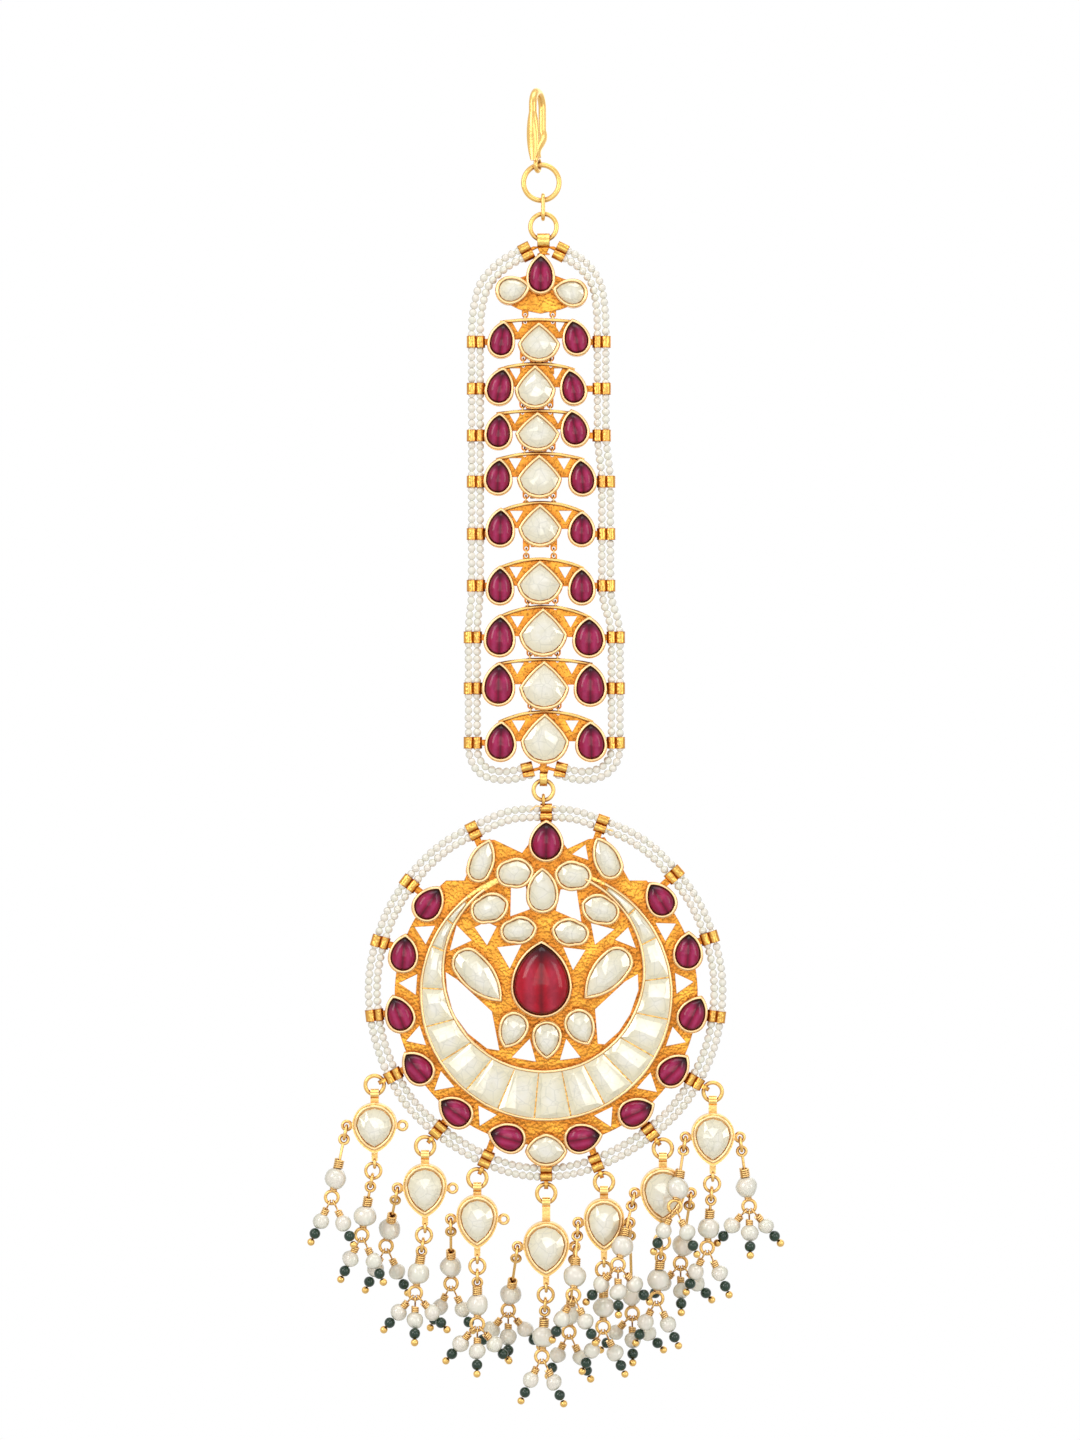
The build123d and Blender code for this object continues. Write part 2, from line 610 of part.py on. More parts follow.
def meet(one, two, angle):
    """The point of the line through two corners that lies in a direction from the medallion's centre."""
    start, stop, middle = Vector(*one), Vector(*two), Vector(*MEDAL)
    way = stop - start
    ray = Vector(cos(radians(angle)), sin(radians(angle)))
    share = ((middle - start).X * ray.Y - (middle - start).Y * ray.X) / (way.X * ray.Y - way.Y * ray.X)
    place = start + way * share
    return (place.X, place.Y), (way.X, way.Y)


CORNERS = loop_corners()
POST_PLACES = [meet(one, two, post.at) for one, two, post in zip(CORNERS, CORNERS[1:], POSTS)]
TOP_PLACE = (MEDAL[0], MEDAL[1] + TOP_POST.radius)
RING_LUG = 1.7              # a drop's ring passes the strands this far outside their middle
DROP_RING = 1.35            # mean radius of a drop's ring
DROP_RING_WIRE = 0.6
# Corners of the holes cut through the lattice; the bezels that reach over them stay whole.
LATTICE_HOLES = (
    ((-4.2, -114.6), (-2.1, -114.6), (-1.5, -118.1), (-4.3, -119.1)),       # beside the drop over the ruby
    ((3.0, -115.2), (5.3, -115.2), (6.0, -119.9), (2.3, -118.3)),
    ((4.7, -110.1), (6.6, -108.7), (7.0, -110.9)),                          # shoulder, right
    ((-9.5, -120.7), (-7.8, -119.9), (-6.3, -120.6), (-7.7, -123.3)),       # beside the middle pair
    ((7.4, -120.1), (10.8, -121.0), (8.0, -123.2)),
    ((-12.1, -120.4), (-9.9, -122.6), (-13.1, -124.1)),                     # along the crescent's edge
    ((12.8, -120.7), (13.9, -123.7), (10.9, -122.5)),
    ((-6.2, -123.6), (-2.7, -123.2), (-4.4, -126.7)),                       # over the large ruby
    ((3.4, -123.6), (6.6, -124.0), (4.8, -126.9)),
    ((-13.7, -127.2), (-12.0, -128.3), (-7.0, -132.9), (-5.9, -138.6), (-7.7, -138.3), (-10.5, -136.1),
     (-12.6, -133.2), (-13.5, -129.8)),                                     # the two large ones
    ((14.2, -127.5), (14.3, -129.8), (13.1, -133.3), (11.5, -135.8), (9.4, -137.7), (8.4, -137.6),
     (8.0, -132.6), (12.3, -128.6)),
    ((-4.1, -139.6), (-1.5, -136.9), (-0.6, -140.2)),                       # over the crescent's middle
    ((2.9, -140.0), (3.8, -136.9), (5.9, -139.6)),
)
RIM_HOLE_BASE = 3.0
RIM_HOLE_FOOT = 18.95        # distance of a rim hole's base from the medallion's centre
RIM_HOLE_HEIGHT = 2.5


def ring_lug(place, heading):
    """Plane in the middle of the eye, outside a pair of tubes, that a drop's ring hangs in."""
    way = Vector(heading[0], 0, heading[1]).normalized()
    outward = Vector(place[0] - MEDAL[0], 0, place[1] - MEDAL[1]).normalized()
    down = Vector(0, 0, -1)
    hang = (outward * 0.5 + down * 0.5).normalized()
    hang = (hang - way * hang.dot(way)).normalized()
    spot = Vector(place[0], 0, place[1]) + hang * RING_LUG
    return Plane(origin=spot, x_dir=hang, z_dir=way)


def lug_planes():
    planes = []
    for post, (place, heading) in zip(POSTS, POST_PLACES):
        if post.at in LUG_POSTS:
            planes.append(ring_lug(place, heading))
    return planes


with BuildPart() as medallion_frame:
    medal_stones = (*RIM_STONES_LEFT, *RIM_STONES_RIGHT, DOME, CENTRE_RUBY, CROWN_RUBY, *LATTICE)
    with BuildSketch(front(PLATE_BACK)) as base:
        with Locations(MEDAL):
            Circle(RIM_RADIUS)
        with Locations((MEDAL[0], RIM_TOP_Z + 10)):
            Rectangle(60, 20, mode=Mode.SUBTRACT)
        with Locations(MEDAL):
            Circle(CRESCENT_OUTER)
        Polygon((-1.2, -108.0), (3.0, -108.0), (4.0, -109.3), (7.0, -107.9), (9.4, -107.6), (13.2, -114.3),
                (-11.2, -114.3), (-8.4, -108.0), (-6.6, -108.0), (-2.6, -109.9), align=None)
        for corners in LATTICE_HOLES:
            Polygon(*corners, align=None, mode=Mode.SUBTRACT)
        for angle in rim_holes():
            half = degrees(RIM_HOLE_BASE / 2 / RIM_HOLE_FOOT)
            Polygon(polar(RIM_HOLE_FOOT, angle - half), polar(RIM_HOLE_FOOT + RIM_HOLE_HEIGHT, angle),
                    polar(RIM_HOLE_FOOT, angle + half), align=None, mode=Mode.SUBTRACT)
    extrude(amount=PLATE_FRONT - PLATE_BACK)
    with BuildSketch(front(PLATE_FRONT)):
        with Locations(MEDAL):
            Circle(CRESCENT_OUTER)
            Circle(CRESCENT_OUTER - CRESCENT_WALL, mode=Mode.SUBTRACT)
        with Locations(CRESCENT_INNER_CENTRE):
            Circle(CRESCENT_INNER + CRESCENT_WALL)
            Circle(CRESCENT_INNER, mode=Mode.SUBTRACT)
        with Locations((MEDAL[0], MEDAL[1] + CRESCENT_OUTER - 1.0)):
            Rectangle(12, 3.0, mode=Mode.SUBTRACT)
        for angle in CRESCENT_WALLS:
            near, far = channel_ends(angle)
            with Locations(polar((near + far) / 2, angle)):
                Rectangle(far - near + 0.3, 0.3, rotation=angle)
    extrude(amount=BEZEL_TOP - PLATE_FRONT)
    bezels(medal_stones)
    medal_tubes = []
    for post, (place, heading) in zip(POSTS, POST_PLACES):
        medal_tubes.append(strand_tubes(*place, heading))
        neck_at = polar(post.radius - 1.75, post.at)
        with Locations(Location((neck_at[0], 0, neck_at[1]), (0, -post.at, 0))):
            Box(2.2, 0.62, 1.0)
    medal_tubes.append(strand_tubes(*TOP_PLACE, (1, 0)))
    with Locations((MEDAL[0], 0, -105.2)):
        Box(1.5, 0.7, 1.4)
    for plane in lug_planes():
        with BuildSketch(plane) as eye:
            Circle(0.74)
            with Locations((-0.5, 0)):
                Rectangle(1.0, 0.8)
        extrude(eye.sketch, amount=0.3, both=True)
    with Locations(Plane(origin=(0.5, 0, SWING_Z), z_dir=(1, 0, 0))):
        Torus(0.72, 0.24)
    with Locations((0.5, 0, SWING_Z - 0.9)):
        Box(0.8, 0.6, 0.36)
    stone_seats(medal_stones)
    bore_tubes(medal_tubes)
    for plane in lug_planes():
        with BuildSketch(plane) as eye_hole:
            Circle(0.44)
        extrude(eye_hole.sketch, amount=1.0, both=True, mode=Mode.SUBTRACT)
keep(medallion_frame, "medallion_frame")

with BuildPart() as centre_ruby:
    ruby(CENTRE_RUBY, rise=1.9)
keep(centre_ruby, "centre_ruby")

with BuildPart() as crown_ruby:
    ruby(CROWN_RUBY, rise=1.2)
keep(crown_ruby, "crown_ruby")

with BuildPart() as rim_rubies_left:
    for stone in RIM_STONES_LEFT:
        ruby(stone)
keep(rim_rubies_left, "rim_rubies_left")

with BuildPart() as rim_rubies_right:
    for stone in RIM_STONES_RIGHT:
        ruby(stone)
keep(rim_rubies_right, "rim_rubies_right")

with BuildPart() as rim_dome_stone:
    polki(DOME, rise=0.8)
keep(rim_dome_stone, "rim_dome_stone")

with BuildPart() as lattice_stones:
    for stone in LATTICE:
        polki(stone)
keep(lattice_stones, "lattice_stones")

with BuildPart() as crescent_stones:
    for start, stop in zip(CRESCENT_WALLS, CRESCENT_WALLS[1:]):
        crescent_stone(start, stop)
keep(crescent_stones, "crescent_stones")

LOOP = [(MEDAL[0] + 0.25, TOP_PLACE[1]), *CORNERS, (MEDAL[0] - 0.25, TOP_PLACE[1])]
with BuildPart() as medallion_pearls_outer:
    strand(beside(LOOP, -STRAND_PITCH / 2))
keep(medallion_pearls_outer, "medallion_pearls_outer")

with BuildPart() as medallion_pearls_inner:
    strand(beside(LOOP, STRAND_PITCH / 2))
keep(medallion_pearls_inner, "medallion_pearls_inner")

# ---------------------------------------------------------------- pear drops
# Width and length of each drop and the height of its middle, from left to right.
DROP_SIZES = (
    (6.5, 7.3, -149.8), (6.4, 7.8, -158.9), (6.1, 7.8, -163.4), (6.7, 8.1, -167.4),
    (5.9, 7.8, -163.9), (6.6, 8.2, -159.6), (6.3, 7.7, -151.5),
)
CUP_HALF = 1.15             # half the depth of a drop's cup
CUP_WALL = 0.75
NECK = 1.2                  # width of the block over a cup
NECK_TUBE = 0.55
COLLAR = 0.9                # thickness of the blocks over and under a cup
SIDE_COLLAR = 0.5
EYE = 0.62                  # mean radius of the small eyes round a cup and at the ends of a pin
WIRE_FINE = 0.48
SIDE_EYE = 0.8              # from a cup's side to the middle of its eye
FOOT_EYE = 1.5              # from a cup's tip to the middle of its eye


def drop_ring_centre(plane):
    spot = plane.origin + plane.x_dir * DROP_RING
    return spot.X, spot.Z


DROPS = []
planes_left_to_right = sorted(lug_planes(), key=lambda plane: plane.origin.X)
for plane, (width, length, middle_z) in zip(planes_left_to_right, DROP_SIZES):
    DROPS.append(Stone(drop_ring_centre(plane)[0], middle_z, width, length, 180))

with BuildPart() as drop_rings:
    for plane in planes_left_to_right:
        ring(*drop_ring_centre(plane), DROP_RING, DROP_RING_WIRE)
keep(drop_rings, "drop_rings")


def cup_stone(drop):
    return Stone(drop.x, drop.z + 0.1, drop.width - 2 * CUP_WALL, drop.length - 2 * CUP_WALL - 0.3, 180)


def cup_eyes(drop):
    """Middles (x, z) of the eyes at the sides and the foot of a cup."""
    side = drop.width / 2 + SIDE_EYE
    return {
        "left": (drop.x - side, drop.z + 0.3),
        "right": (drop.x + side, drop.z + 0.3),
        "foot": (drop.x, drop.z - drop.length / 2 - FOOT_EYE),
    }


def collar(x, z, width, height, thickness=COLLAR, overlap=0.3):
    """Adds a block between a cup and its eye. The overlap lets it run on into both."""
    with Locations((x, 0, z)):
        Box(width, thickness, height + 2 * overlap)


def drop_cup(number, drop, ring_z):
    with BuildPart() as cup:
        sections = []
        for height, scale in ((-CUP_HALF, 0.84), (-0.5 * CUP_HALF, 1.0), (CUP_HALF, 1.0)):
            with BuildSketch(front(height)) as section:
                with Locations((drop.x, drop.z)):
                    Petal(drop.width * scale, drop.length * scale, drop.full, rotation=180)
            sections.append(section.sketch.face())
        loft(sections, ruled=True)
        stone = cup_stone(drop)
        with BuildSketch(front(CUP_HALF - 0.55)) as bed:
            with Locations((stone.x, stone.z)):
                Petal(stone.width + 2 * STONE_GAP, stone.length + 2 * STONE_GAP, stone.full, rotation=180)
        extrude(bed.sketch, amount=2, mode=Mode.SUBTRACT)
        neck_top = ring_z - DROP_RING
        neck_foot = drop.z + drop.length / 2
        tube_foot = neck_top - NECK_TUBE
        collar(drop.x, (tube_foot + neck_foot) / 2, NECK, tube_foot - neck_foot, overlap=0.1)
        bail_tube(drop.x, neck_top + 0.06, NECK, outer=NECK_TUBE + 0.2, bore=DROP_RING_WIRE / 2 + 0.17)
        for name, spot in cup_eyes(drop).items():
            if name == "foot":
                tip = drop.z - drop.length / 2
                collar(drop.x, (tip + spot[1] + EYE) / 2, COLLAR, tip - spot[1] - EYE)
                normal = (1, 0, 0)
            else:
                way = 1 if name == "right" else -1
                inner = drop.x + way * (drop.width / 2 - 0.4)
                collar((inner + spot[0]) / 2, spot[1], abs(spot[0] - inner), COLLAR, SIDE_COLLAR, overlap=0)
                normal = (0, 1, 0)
            with Locations(Plane(origin=(spot[0], 0, spot[1]), z_dir=normal)):
                Torus(EYE, WIRE_FINE / 2)
                Hole(EYE - WIRE_FINE / 2, depth=2)
    keep(cup, f"drop_cup_{number}")


for number, (drop, plane) in enumerate(zip(DROPS, planes_left_to_right), start=1):
    drop_cup(number, drop, drop_ring_centre(plane)[1])

with BuildPart() as drop_stones:
    for drop in DROPS:
        stone = cup_stone(drop)
        sections = []
        for height, scale in ((CUP_HALF - 0.47, 1.0), (CUP_HALF, 1.0), (CUP_HALF + 0.6, 0.6)):
            with BuildSketch(front(height)) as section:
                with Locations((stone.x, stone.z)):
                    CutPetal(stone.width * scale, stone.length * scale, stone.full, rotation=180)
            sections.append(section.sketch.face())
        loft(sections, ruled=True)
keep(drop_stones, "drop_stones")

# ---------------------------------------------------------------- fringe
# Each pearl drop hangs from an eye of a cup. x, y and z place the middle of its large pearl.
Fringe = namedtuple("Fringe", "drop eye x y z pins")
FRINGE = (
    Fringe(1, "left", -29.6, -1.2, -157.0, 2), Fringe(1, "foot", -25.4, 0, -162.6, 2),
    Fringe(2, "left", -22.0, 3.3, -165.0, 2), Fringe(2, "foot", -17.7, 0, -171.0, 3),
    Fringe(3, "left", -13.0, 3.3, -170.4, 2), Fringe(3, "foot", -9.1, 0, -175.5, 3),
    Fringe(4, "left", -4.3, 4.4, -174.6, 3), Fringe(4, "foot", 0.45, 0, -180.2, 2),
    Fringe(5, "left", 5.0, -3.3, -170.9, 2), Fringe(5, "foot", 9.2, 0, -175.9, 2),
    Fringe(6, "left", 11.9, -3.3, -166.6, 3), Fringe(6, "foot", 17.2, 0, -171.8, 2),
    Fringe(7, "left", 19.9, -3.3, -158.2, 2), Fringe(7, "foot", 24.5, 0, -164.4, 2),
    Fringe(7, "right", 30.0, 0, -158.4, 3), Fringe(4, "right", 4.4, 3.5, -177.4, 2),
    Fringe(5, "right", 13.4, 3.3, -174.6, 3), Fringe(6, "right", 20.9, 3.3, -167.4, 3),
)
LARGE_PEARL = 3.2
PEARL_BORE = 0.6
SMALL_PEARL = 2.4
GREEN_BEAD = 1.6
GOLD_BALL = 1.1
LINK_PLAY = 0.1
HOLD = WIRE_FINE + LINK_PLAY                # two linked wires lie this far apart
CORE_WIRE = 0.42            # wire through a large pearl
LOW_EYE = 0.92              # mean radius of the eye under a large pearl
LOW_EYE_DROP = 0.32         # from the pearl to the middle of that eye's wire
PIN_EYE = 0.5
PIN_WIRE = 0.26
PIN_DROP = 2.9              # from the eye under the large pearl to a small pearl
FRINGE_RINGS = {
    "left": ((0.98, "edge"),), "right": ((0.98, "edge"),), "foot": ((1.1, "face"), (0.9, "edge")),
}
PIN_SPREAD = {2: ((-25, -4), (25, 4)), 3: ((-40, -8), (0, 28), (40, -8))}


class Chain:
    """The straight line that a pearl drop hangs along, from the wire of its cup's eye."""

    def __init__(self, row):
        eye_x, eye_z = cup_eyes(DROPS[row.drop - 1])[row.eye]
        eye = Vector(eye_x, 0, eye_z)
        self.pearl = Vector(row.x, row.y, row.z)
        flat = Vector(row.x - eye_x, 0, row.z - eye_z).normalized()
        self.start = eye + flat * EYE
        self.heading = (self.pearl - self.start).normalized()
        self.length = (self.pearl - self.start).length
        self.across = Vector(0, 1, 0).cross(self.heading)
        self.rings = []
        reach = 0
        for radius, way in FRINGE_RINGS[row.eye]:
            self.rings.append((self.at(reach - HOLD + radius), radius, way))
            reach += 2 * radius - HOLD
        self.top_eye = self.at(reach - HOLD + EYE)
        self.top_reach = reach - HOLD + EYE
        self.tail = self.at(self.length + LARGE_PEARL / 2 + LOW_EYE_DROP)
        self.low_eye = self.tail + flat * LOW_EYE

    def at(self, distance):
        return self.start + self.heading * distance

    def normal(self, way):
        return Vector(0, 1, 0) if way == "face" else self.across


def wire(start, stop, diameter):
    """Adds a straight wire between two points."""
    way = stop - start
    with Locations(Plane(origin=(start + stop) * 0.5, z_dir=way)):
        Cylinder(diameter / 2, way.length)


def pin(chain, turn, lean, drop):
    """Adds one pin: an eye, a wire, a small pearl, a green bead and a gold ball."""
    outward = Vector(sin(radians(turn)), 0, -cos(radians(turn)))
    tangent = Vector(cos(radians(turn)), 0, sin(radians(turn)))
    heading = outward * cos(radians(lean)) + Vector(0, -1, 0) * sin(radians(lean))
    root = chain.low_eye + outward * LOW_EYE
    eye = root + heading * (PIN_EYE - (WIRE_FINE + PIN_WIRE) / 2 - LINK_PLAY)
    pearl = root + heading * drop
    bead = pearl + heading * (SMALL_PEARL + GREEN_BEAD + 0.04) / 2
    ball = bead + heading * (GREEN_BEAD + GOLD_BALL + 0.04) / 2
    with Locations(Plane(origin=eye, z_dir=tangent)):
        Torus(PIN_EYE, PIN_WIRE / 2)
    start = eye + heading * PIN_EYE
    beads = [((place - start).length, size / 2) for place, size in
             ((pearl, SMALL_PEARL), (bead, GREEN_BEAD), (ball, GOLD_BALL))]
    with BuildSketch(Plane(origin=start, x_dir=heading, z_dir=tangent)) as section:
        with BuildLine():
            thin = PIN_WIRE / 2
            Line((0, 0), (0, thin))
            reach = 0
            for middle, radius in beads:
                half = (radius**2 - thin**2) ** 0.5
                if middle - half > reach + 0.01:
                    Line((reach, thin), (middle - half, thin))
                if radius == GOLD_BALL / 2:
                    last = (middle + radius, 0)
                    ThreePointArc((middle - half, thin), (middle, radius), last)
                else:
                    last = (middle + half, thin)
                    ThreePointArc((middle - half, thin), (middle, radius), last)
                reach = middle + half
            Line(last, (0, 0))
        make_face()
    revolve(section.sketch, axis=Axis(start, heading))


CHAINS = [Chain(row) for row in FRINGE]

with BuildPart() as fringe_rings:
    for chain in CHAINS:
        for place, radius, way in chain.rings:
            with Locations(Plane(origin=place, z_dir=chain.normal(way))):
                Torus(radius, WIRE_FINE / 2)
keep(fringe_rings, "fringe_rings")

with BuildPart() as fringe_eye_pins:
    for chain in CHAINS:
        with Locations(Plane(origin=chain.top_eye, z_dir=chain.heading.cross(chain.across))):
            Torus(EYE, WIRE_FINE / 2)
        with Locations(Plane(origin=chain.low_eye, z_dir=(0, 1, 0))):
            Torus(LOW_EYE, WIRE_FINE / 2)
        wire(chain.at(chain.top_reach + EYE), chain.tail, CORE_WIRE)
keep(fringe_eye_pins, "fringe_eye_pins")

with BuildPart() as fringe_pearls:
    for chain in CHAINS:
        with Locations(Plane(origin=chain.pearl, z_dir=chain.heading)):
            Sphere(LARGE_PEARL / 2)
            Hole(PEARL_BORE / 2, depth=4)
keep(fringe_pearls, "fringe_pearls")

for name, drops in (("left", (1, 2)), ("middle", (3, 4, 5)), ("right", (6, 7))):
    with BuildPart() as pins:
        for row, chain in zip(FRINGE, CHAINS):
            if row.drop not in drops:
                continue
            for index, (turn, lean) in enumerate(PIN_SPREAD[row.pins]):
                pin(chain, turn, lean, PIN_DROP + 0.3 * (index % 2))
    keep(pins, f"fringe_pins_{name}")
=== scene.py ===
from collections import namedtuple
from math import asin, cos, degrees, hypot, pi, radians, sin, tan

import bpy
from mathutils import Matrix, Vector, noise


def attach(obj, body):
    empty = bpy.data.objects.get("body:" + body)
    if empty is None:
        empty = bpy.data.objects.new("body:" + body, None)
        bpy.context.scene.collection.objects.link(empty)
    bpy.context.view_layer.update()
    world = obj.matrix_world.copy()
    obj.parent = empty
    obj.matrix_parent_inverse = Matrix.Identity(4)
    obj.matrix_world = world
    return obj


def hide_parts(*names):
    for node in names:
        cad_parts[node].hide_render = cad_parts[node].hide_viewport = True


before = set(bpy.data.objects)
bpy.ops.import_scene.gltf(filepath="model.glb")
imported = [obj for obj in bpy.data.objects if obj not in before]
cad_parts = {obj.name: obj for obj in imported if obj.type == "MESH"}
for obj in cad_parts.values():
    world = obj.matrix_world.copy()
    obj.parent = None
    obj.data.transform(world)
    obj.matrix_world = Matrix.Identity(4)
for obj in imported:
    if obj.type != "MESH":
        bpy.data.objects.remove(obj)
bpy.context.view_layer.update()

# Sizes are in millimetres, as in the part's source, and turned into metres when a mesh is made.
# x runs to the right, z up, and the front faces -y. A height is a distance towards the front.
MM = 0.001
BEZEL_TOP = 1.15            # height of a bezel's top
STONE_GAP = 0.07            # play between a stone and its bezel
STONE_BED = 0.43            # height on which the stones lie
STRAND_PITCH = 1.24         # distance between the two strands of a pair
SEED_PEARL = 1.16           # diameter of a seed pearl
SEED_PITCH = 1.06           # distance from one seed pearl to the next along its strand
LIP = 0.24                  # radius of the lip round a bezel
LIP_INSET = 0.16            # from the middle of a lip to the bezel's inner wall
SUNK = 0.12                 # how far under the bezel's top a dome starts
SMALL_DOME = 0.9            # rise of a small ruby over its bezel
CROWN_DOME = 1.15
LARGE_DOME = 1.8
TABLE_RISE = 0.5            # rise of a flat stone's table over its bezel
ARCH_WIRE = 0.26            # radius of the wire arch over a bar
ARCH_OVERHANG = 0.3         # an arch's ends lie this far above and outside the side rubies
ARCH_OVER_STONE = 0.75      # from the middle stone's tip up to the arch
ARCH_RISE = 0.4             # least rise of an arch
ARCH_HEIGHT = 0.42
MEDAL = (0.9, -130.4)       # the medallion's centre
CRESCENT_OUTER = 18.4       # radius of the crescent channel's outer edge, about the medallion's centre
CRESCENT_INNER_CENTRE = (0.5, -127.0)
CRESCENT_INNER = 14.35      # radius of its inner edge
CRESCENT_WALL = 0.5
OUTER_ENDS = (62, -231)     # directions in which the ends of the crescent's two edges lie
INNER_ENDS = (66, -234)
CRESCENT_SPREAD = 0.13      # how far the crescent's stones spread over their walls
PARTING = 0.16              # half of the metal between two stones of the crescent

# A stone lies at (x, z), and turn is the direction of its tip, counterclockwise from straight up.
# Full is how far its long sides bulge: small for straight sides, large for a blunt, oval stone.
Stone = namedtuple("Stone", "x z width length turn full", defaults=(0.14,))
SPADE = 0.05
OVAL = 0.25
TABLE_SHARE = 0.62          # width of a flat stone's table over that of the stone
Bar = namedtuple("Bar", "centre left right")
# The nine bars of the strap: middle stone, left ruby and right ruby of each.
BARS = [Bar(Stone(*centre, 0, SPADE), Stone(*left), Stone(*right)) for centre, left, right in (
    ((-0.15, -35.8, 5.2, 4.7), (-5.55, -35.4, 3.1, 4.4, -8), (5.2, -35.1, 3.2, 4.4, 12)),
    ((-0.7, -42.3, 5.0, 5.3), (-5.8, -42.2, 3.3, 4.6, -12), (4.75, -42.3, 3.0, 4.4, 12)),
    ((-0.35, -48.8, 5.5, 4.65), (-6.0, -48.7, 3.2, 4.4, -4), (5.0, -48.3, 3.3, 4.5, 10)),
    ((-0.1, -55.3, 5.6, 5.3), (-6.05, -55.3, 3.3, 4.4, -4), (6.1, -55.4, 3.2, 4.5, 6)),
    ((0.0, -62.4, 5.4, 5.2), (-5.75, -62.7, 3.4, 4.7, -2), (6.05, -62.9, 3.1, 4.2, -2)),
    ((0.0, -70.65, 5.8, 5.3), (-5.8, -71.1, 3.2, 4.7, 0), (6.05, -71.2, 3.1, 4.5, 0)),
    ((0.45, -77.9, 6.1, 6.0), (-5.85, -78.4, 3.7, 5.2, -2), (7.1, -78.6, 3.9, 5.0, 0)),
    ((0.6, -85.6, 6.3, 6.1), (-6.0, -85.4, 3.9, 5.4, -2), (7.3, -85.5, 3.9, 5.3, 0)),
    ((0.7, -93.3, 6.1, 6.3), (-5.7, -93.7, 3.7, 4.9, -2), (7.4, -93.7, 3.7, 4.9, 2)),
)]
# The head's two pale stones and its ruby.
HEAD_STONES = (Stone(-3.9, -28.2, 3.2, 4.1, -78), Stone(4.35, -28.6, 3.2, 4.1, 78))
HEAD_RUBY = Stone(0.1, -25.9, 3.3, 4.9, 0)
# The way of each pair of strands beside the strap, from the head to the last bar.
LEFT_ROUTE = ((-1.9, -22.55), (-5.2, -24.2), (-8.25, -27.2), (-9.3, -32.0), (-9.3, -72.9), (-9.75, -76.6),
              (-9.75, -95.8), (-8.4, -98.1), (-5.2, -98.9), (-1.6, -98.02))
RIGHT_ROUTE = ((2.9, -22.55), (5.9, -24.05), (8.3, -27.0), (8.95, -31.5), (8.95, -50.4), (9.6, -54.6),
               (9.6, -72.9), (11.0, -76.9), (11.0, -95.9), (9.5, -98.1), (6.3, -98.9), (2.8, -98.02))

# Rim rubies: place round the medallion and direction of the tip, both in degrees from +X.
RIM_RUBIES = ((142, 56), (164, 84), (187.5, 110), (209.5, 131), (232, 143), (254.5, 163),
              (40, 122), (17, 87), (-7.5, 63), (-30.5, 45), (-52.5, 25), (-75.5, 11))
RIM_RUBIES_AT = 21.5        # their distance from the medallion's centre
RIM_RUBY = (3.5, 4.7)       # their width and length
DOME = Stone(0.9, -152.95, 5.2, 3.8, 0)
CENTRE_RUBY = Stone(0.2, -128.2, 8.0, 10.2, 0)
CROWN_RUBY = Stone(0.9, -108.15, 4.2, 5.1, 0)
LATTICE = [Stone(*row) for row in (
    (-8.4, -111.0, 2.7, 5.6, -20),         # shoulder, left
    (9.6, -110.6, 2.9, 5.6, 25),           # shoulder, right
    (-3.65, -112.8, 3.1, 4.6, -84, OVAL),  # upper pair
    (4.8, -113.2, 3.1, 4.5, 84, OVAL),
    (0.35, -115.3, 3.8, 5.7, 0),           # drop over the ruby
    (-7.3, -117.9, 3.0, 4.8, -70, OVAL),   # middle pair
    (8.75, -118.1, 3.0, 4.8, 70, OVAL),
    (-3.1, -121.1, 2.6, 4.5, -80, OVAL),   # lower pair
    (4.4, -121.4, 2.6, 4.6, 80, OVAL),
    (-8.8, -127.8, 3.8, 8.8, -138, 0.12),  # large pair beside the ruby
    (9.6, -127.5, 3.8, 8.4, 138, 0.12),
    (-4.0, -135.6, 3.4, 4.6, 155),         # three under the ruby
    (1.0, -137.0, 3.5, 4.6, 180),
    (5.9, -135.2, 3.5, 4.6, 205),
)]
# Directions of the walls between the crescent's stones, in degrees about the medallion's centre.
CRESCENT_WALLS = (60, 44, 27.5, 8, -11.5, -30, -46, -62, -78.5, -95.5, -113, -130, -147.5, -165, -183, -203,
                  -217, -229)
# The strands pass the medallion's rim at these places: direction in degrees and distance from its centre.
POSTS = ((72, 25.9), (43, 25.5), (19, 25.0), (-7.5, 24.8), (-30.5, 25.1), (-53, 25.0), (-73.5, 25.2),
         (-90, 26.6), (-110, 25.2), (-128.5, 25.2), (-152, 25.2), (-173, 25.0), (-197.5, 25.2),
         (-219, 25.6), (-246, 25.9))
TOP_POST = (90, 26.35)

# Pear drops, tip down: middle, width and length of each cup.
DROPS = [Stone(*row, 180) for row in (
    (-24.01, -149.80, 6.5, 7.3), (-16.69, -158.90, 6.4, 7.8), (-9.10, -163.40, 6.1, 7.8),
    (0.90, -167.40, 6.7, 8.1), (9.30, -163.90, 5.9, 7.8), (17.84, -159.60, 6.6, 8.2),
    (25.08, -151.50, 6.3, 7.7))]
CUP_HALF = 1.15             # half the depth of a cup
CUP_WALL = 0.75
FOOT_EYE_AT = 1.5           # from a cup's foot down to the middle of its eye
SIDE_EYE_AT = 0.8           # from a cup's side out to the middle of its eye
SIDE_EYE_UP = 0.3
FACE_UP = 0.1               # how far the face of a drop lies over the middle of its cup
FACE_SHORT = 0.3            # what its wall takes from its length beyond CUP_WALL
DROP_LIP_AT = 0.3           # from the edge of the face out to the middle of its lip
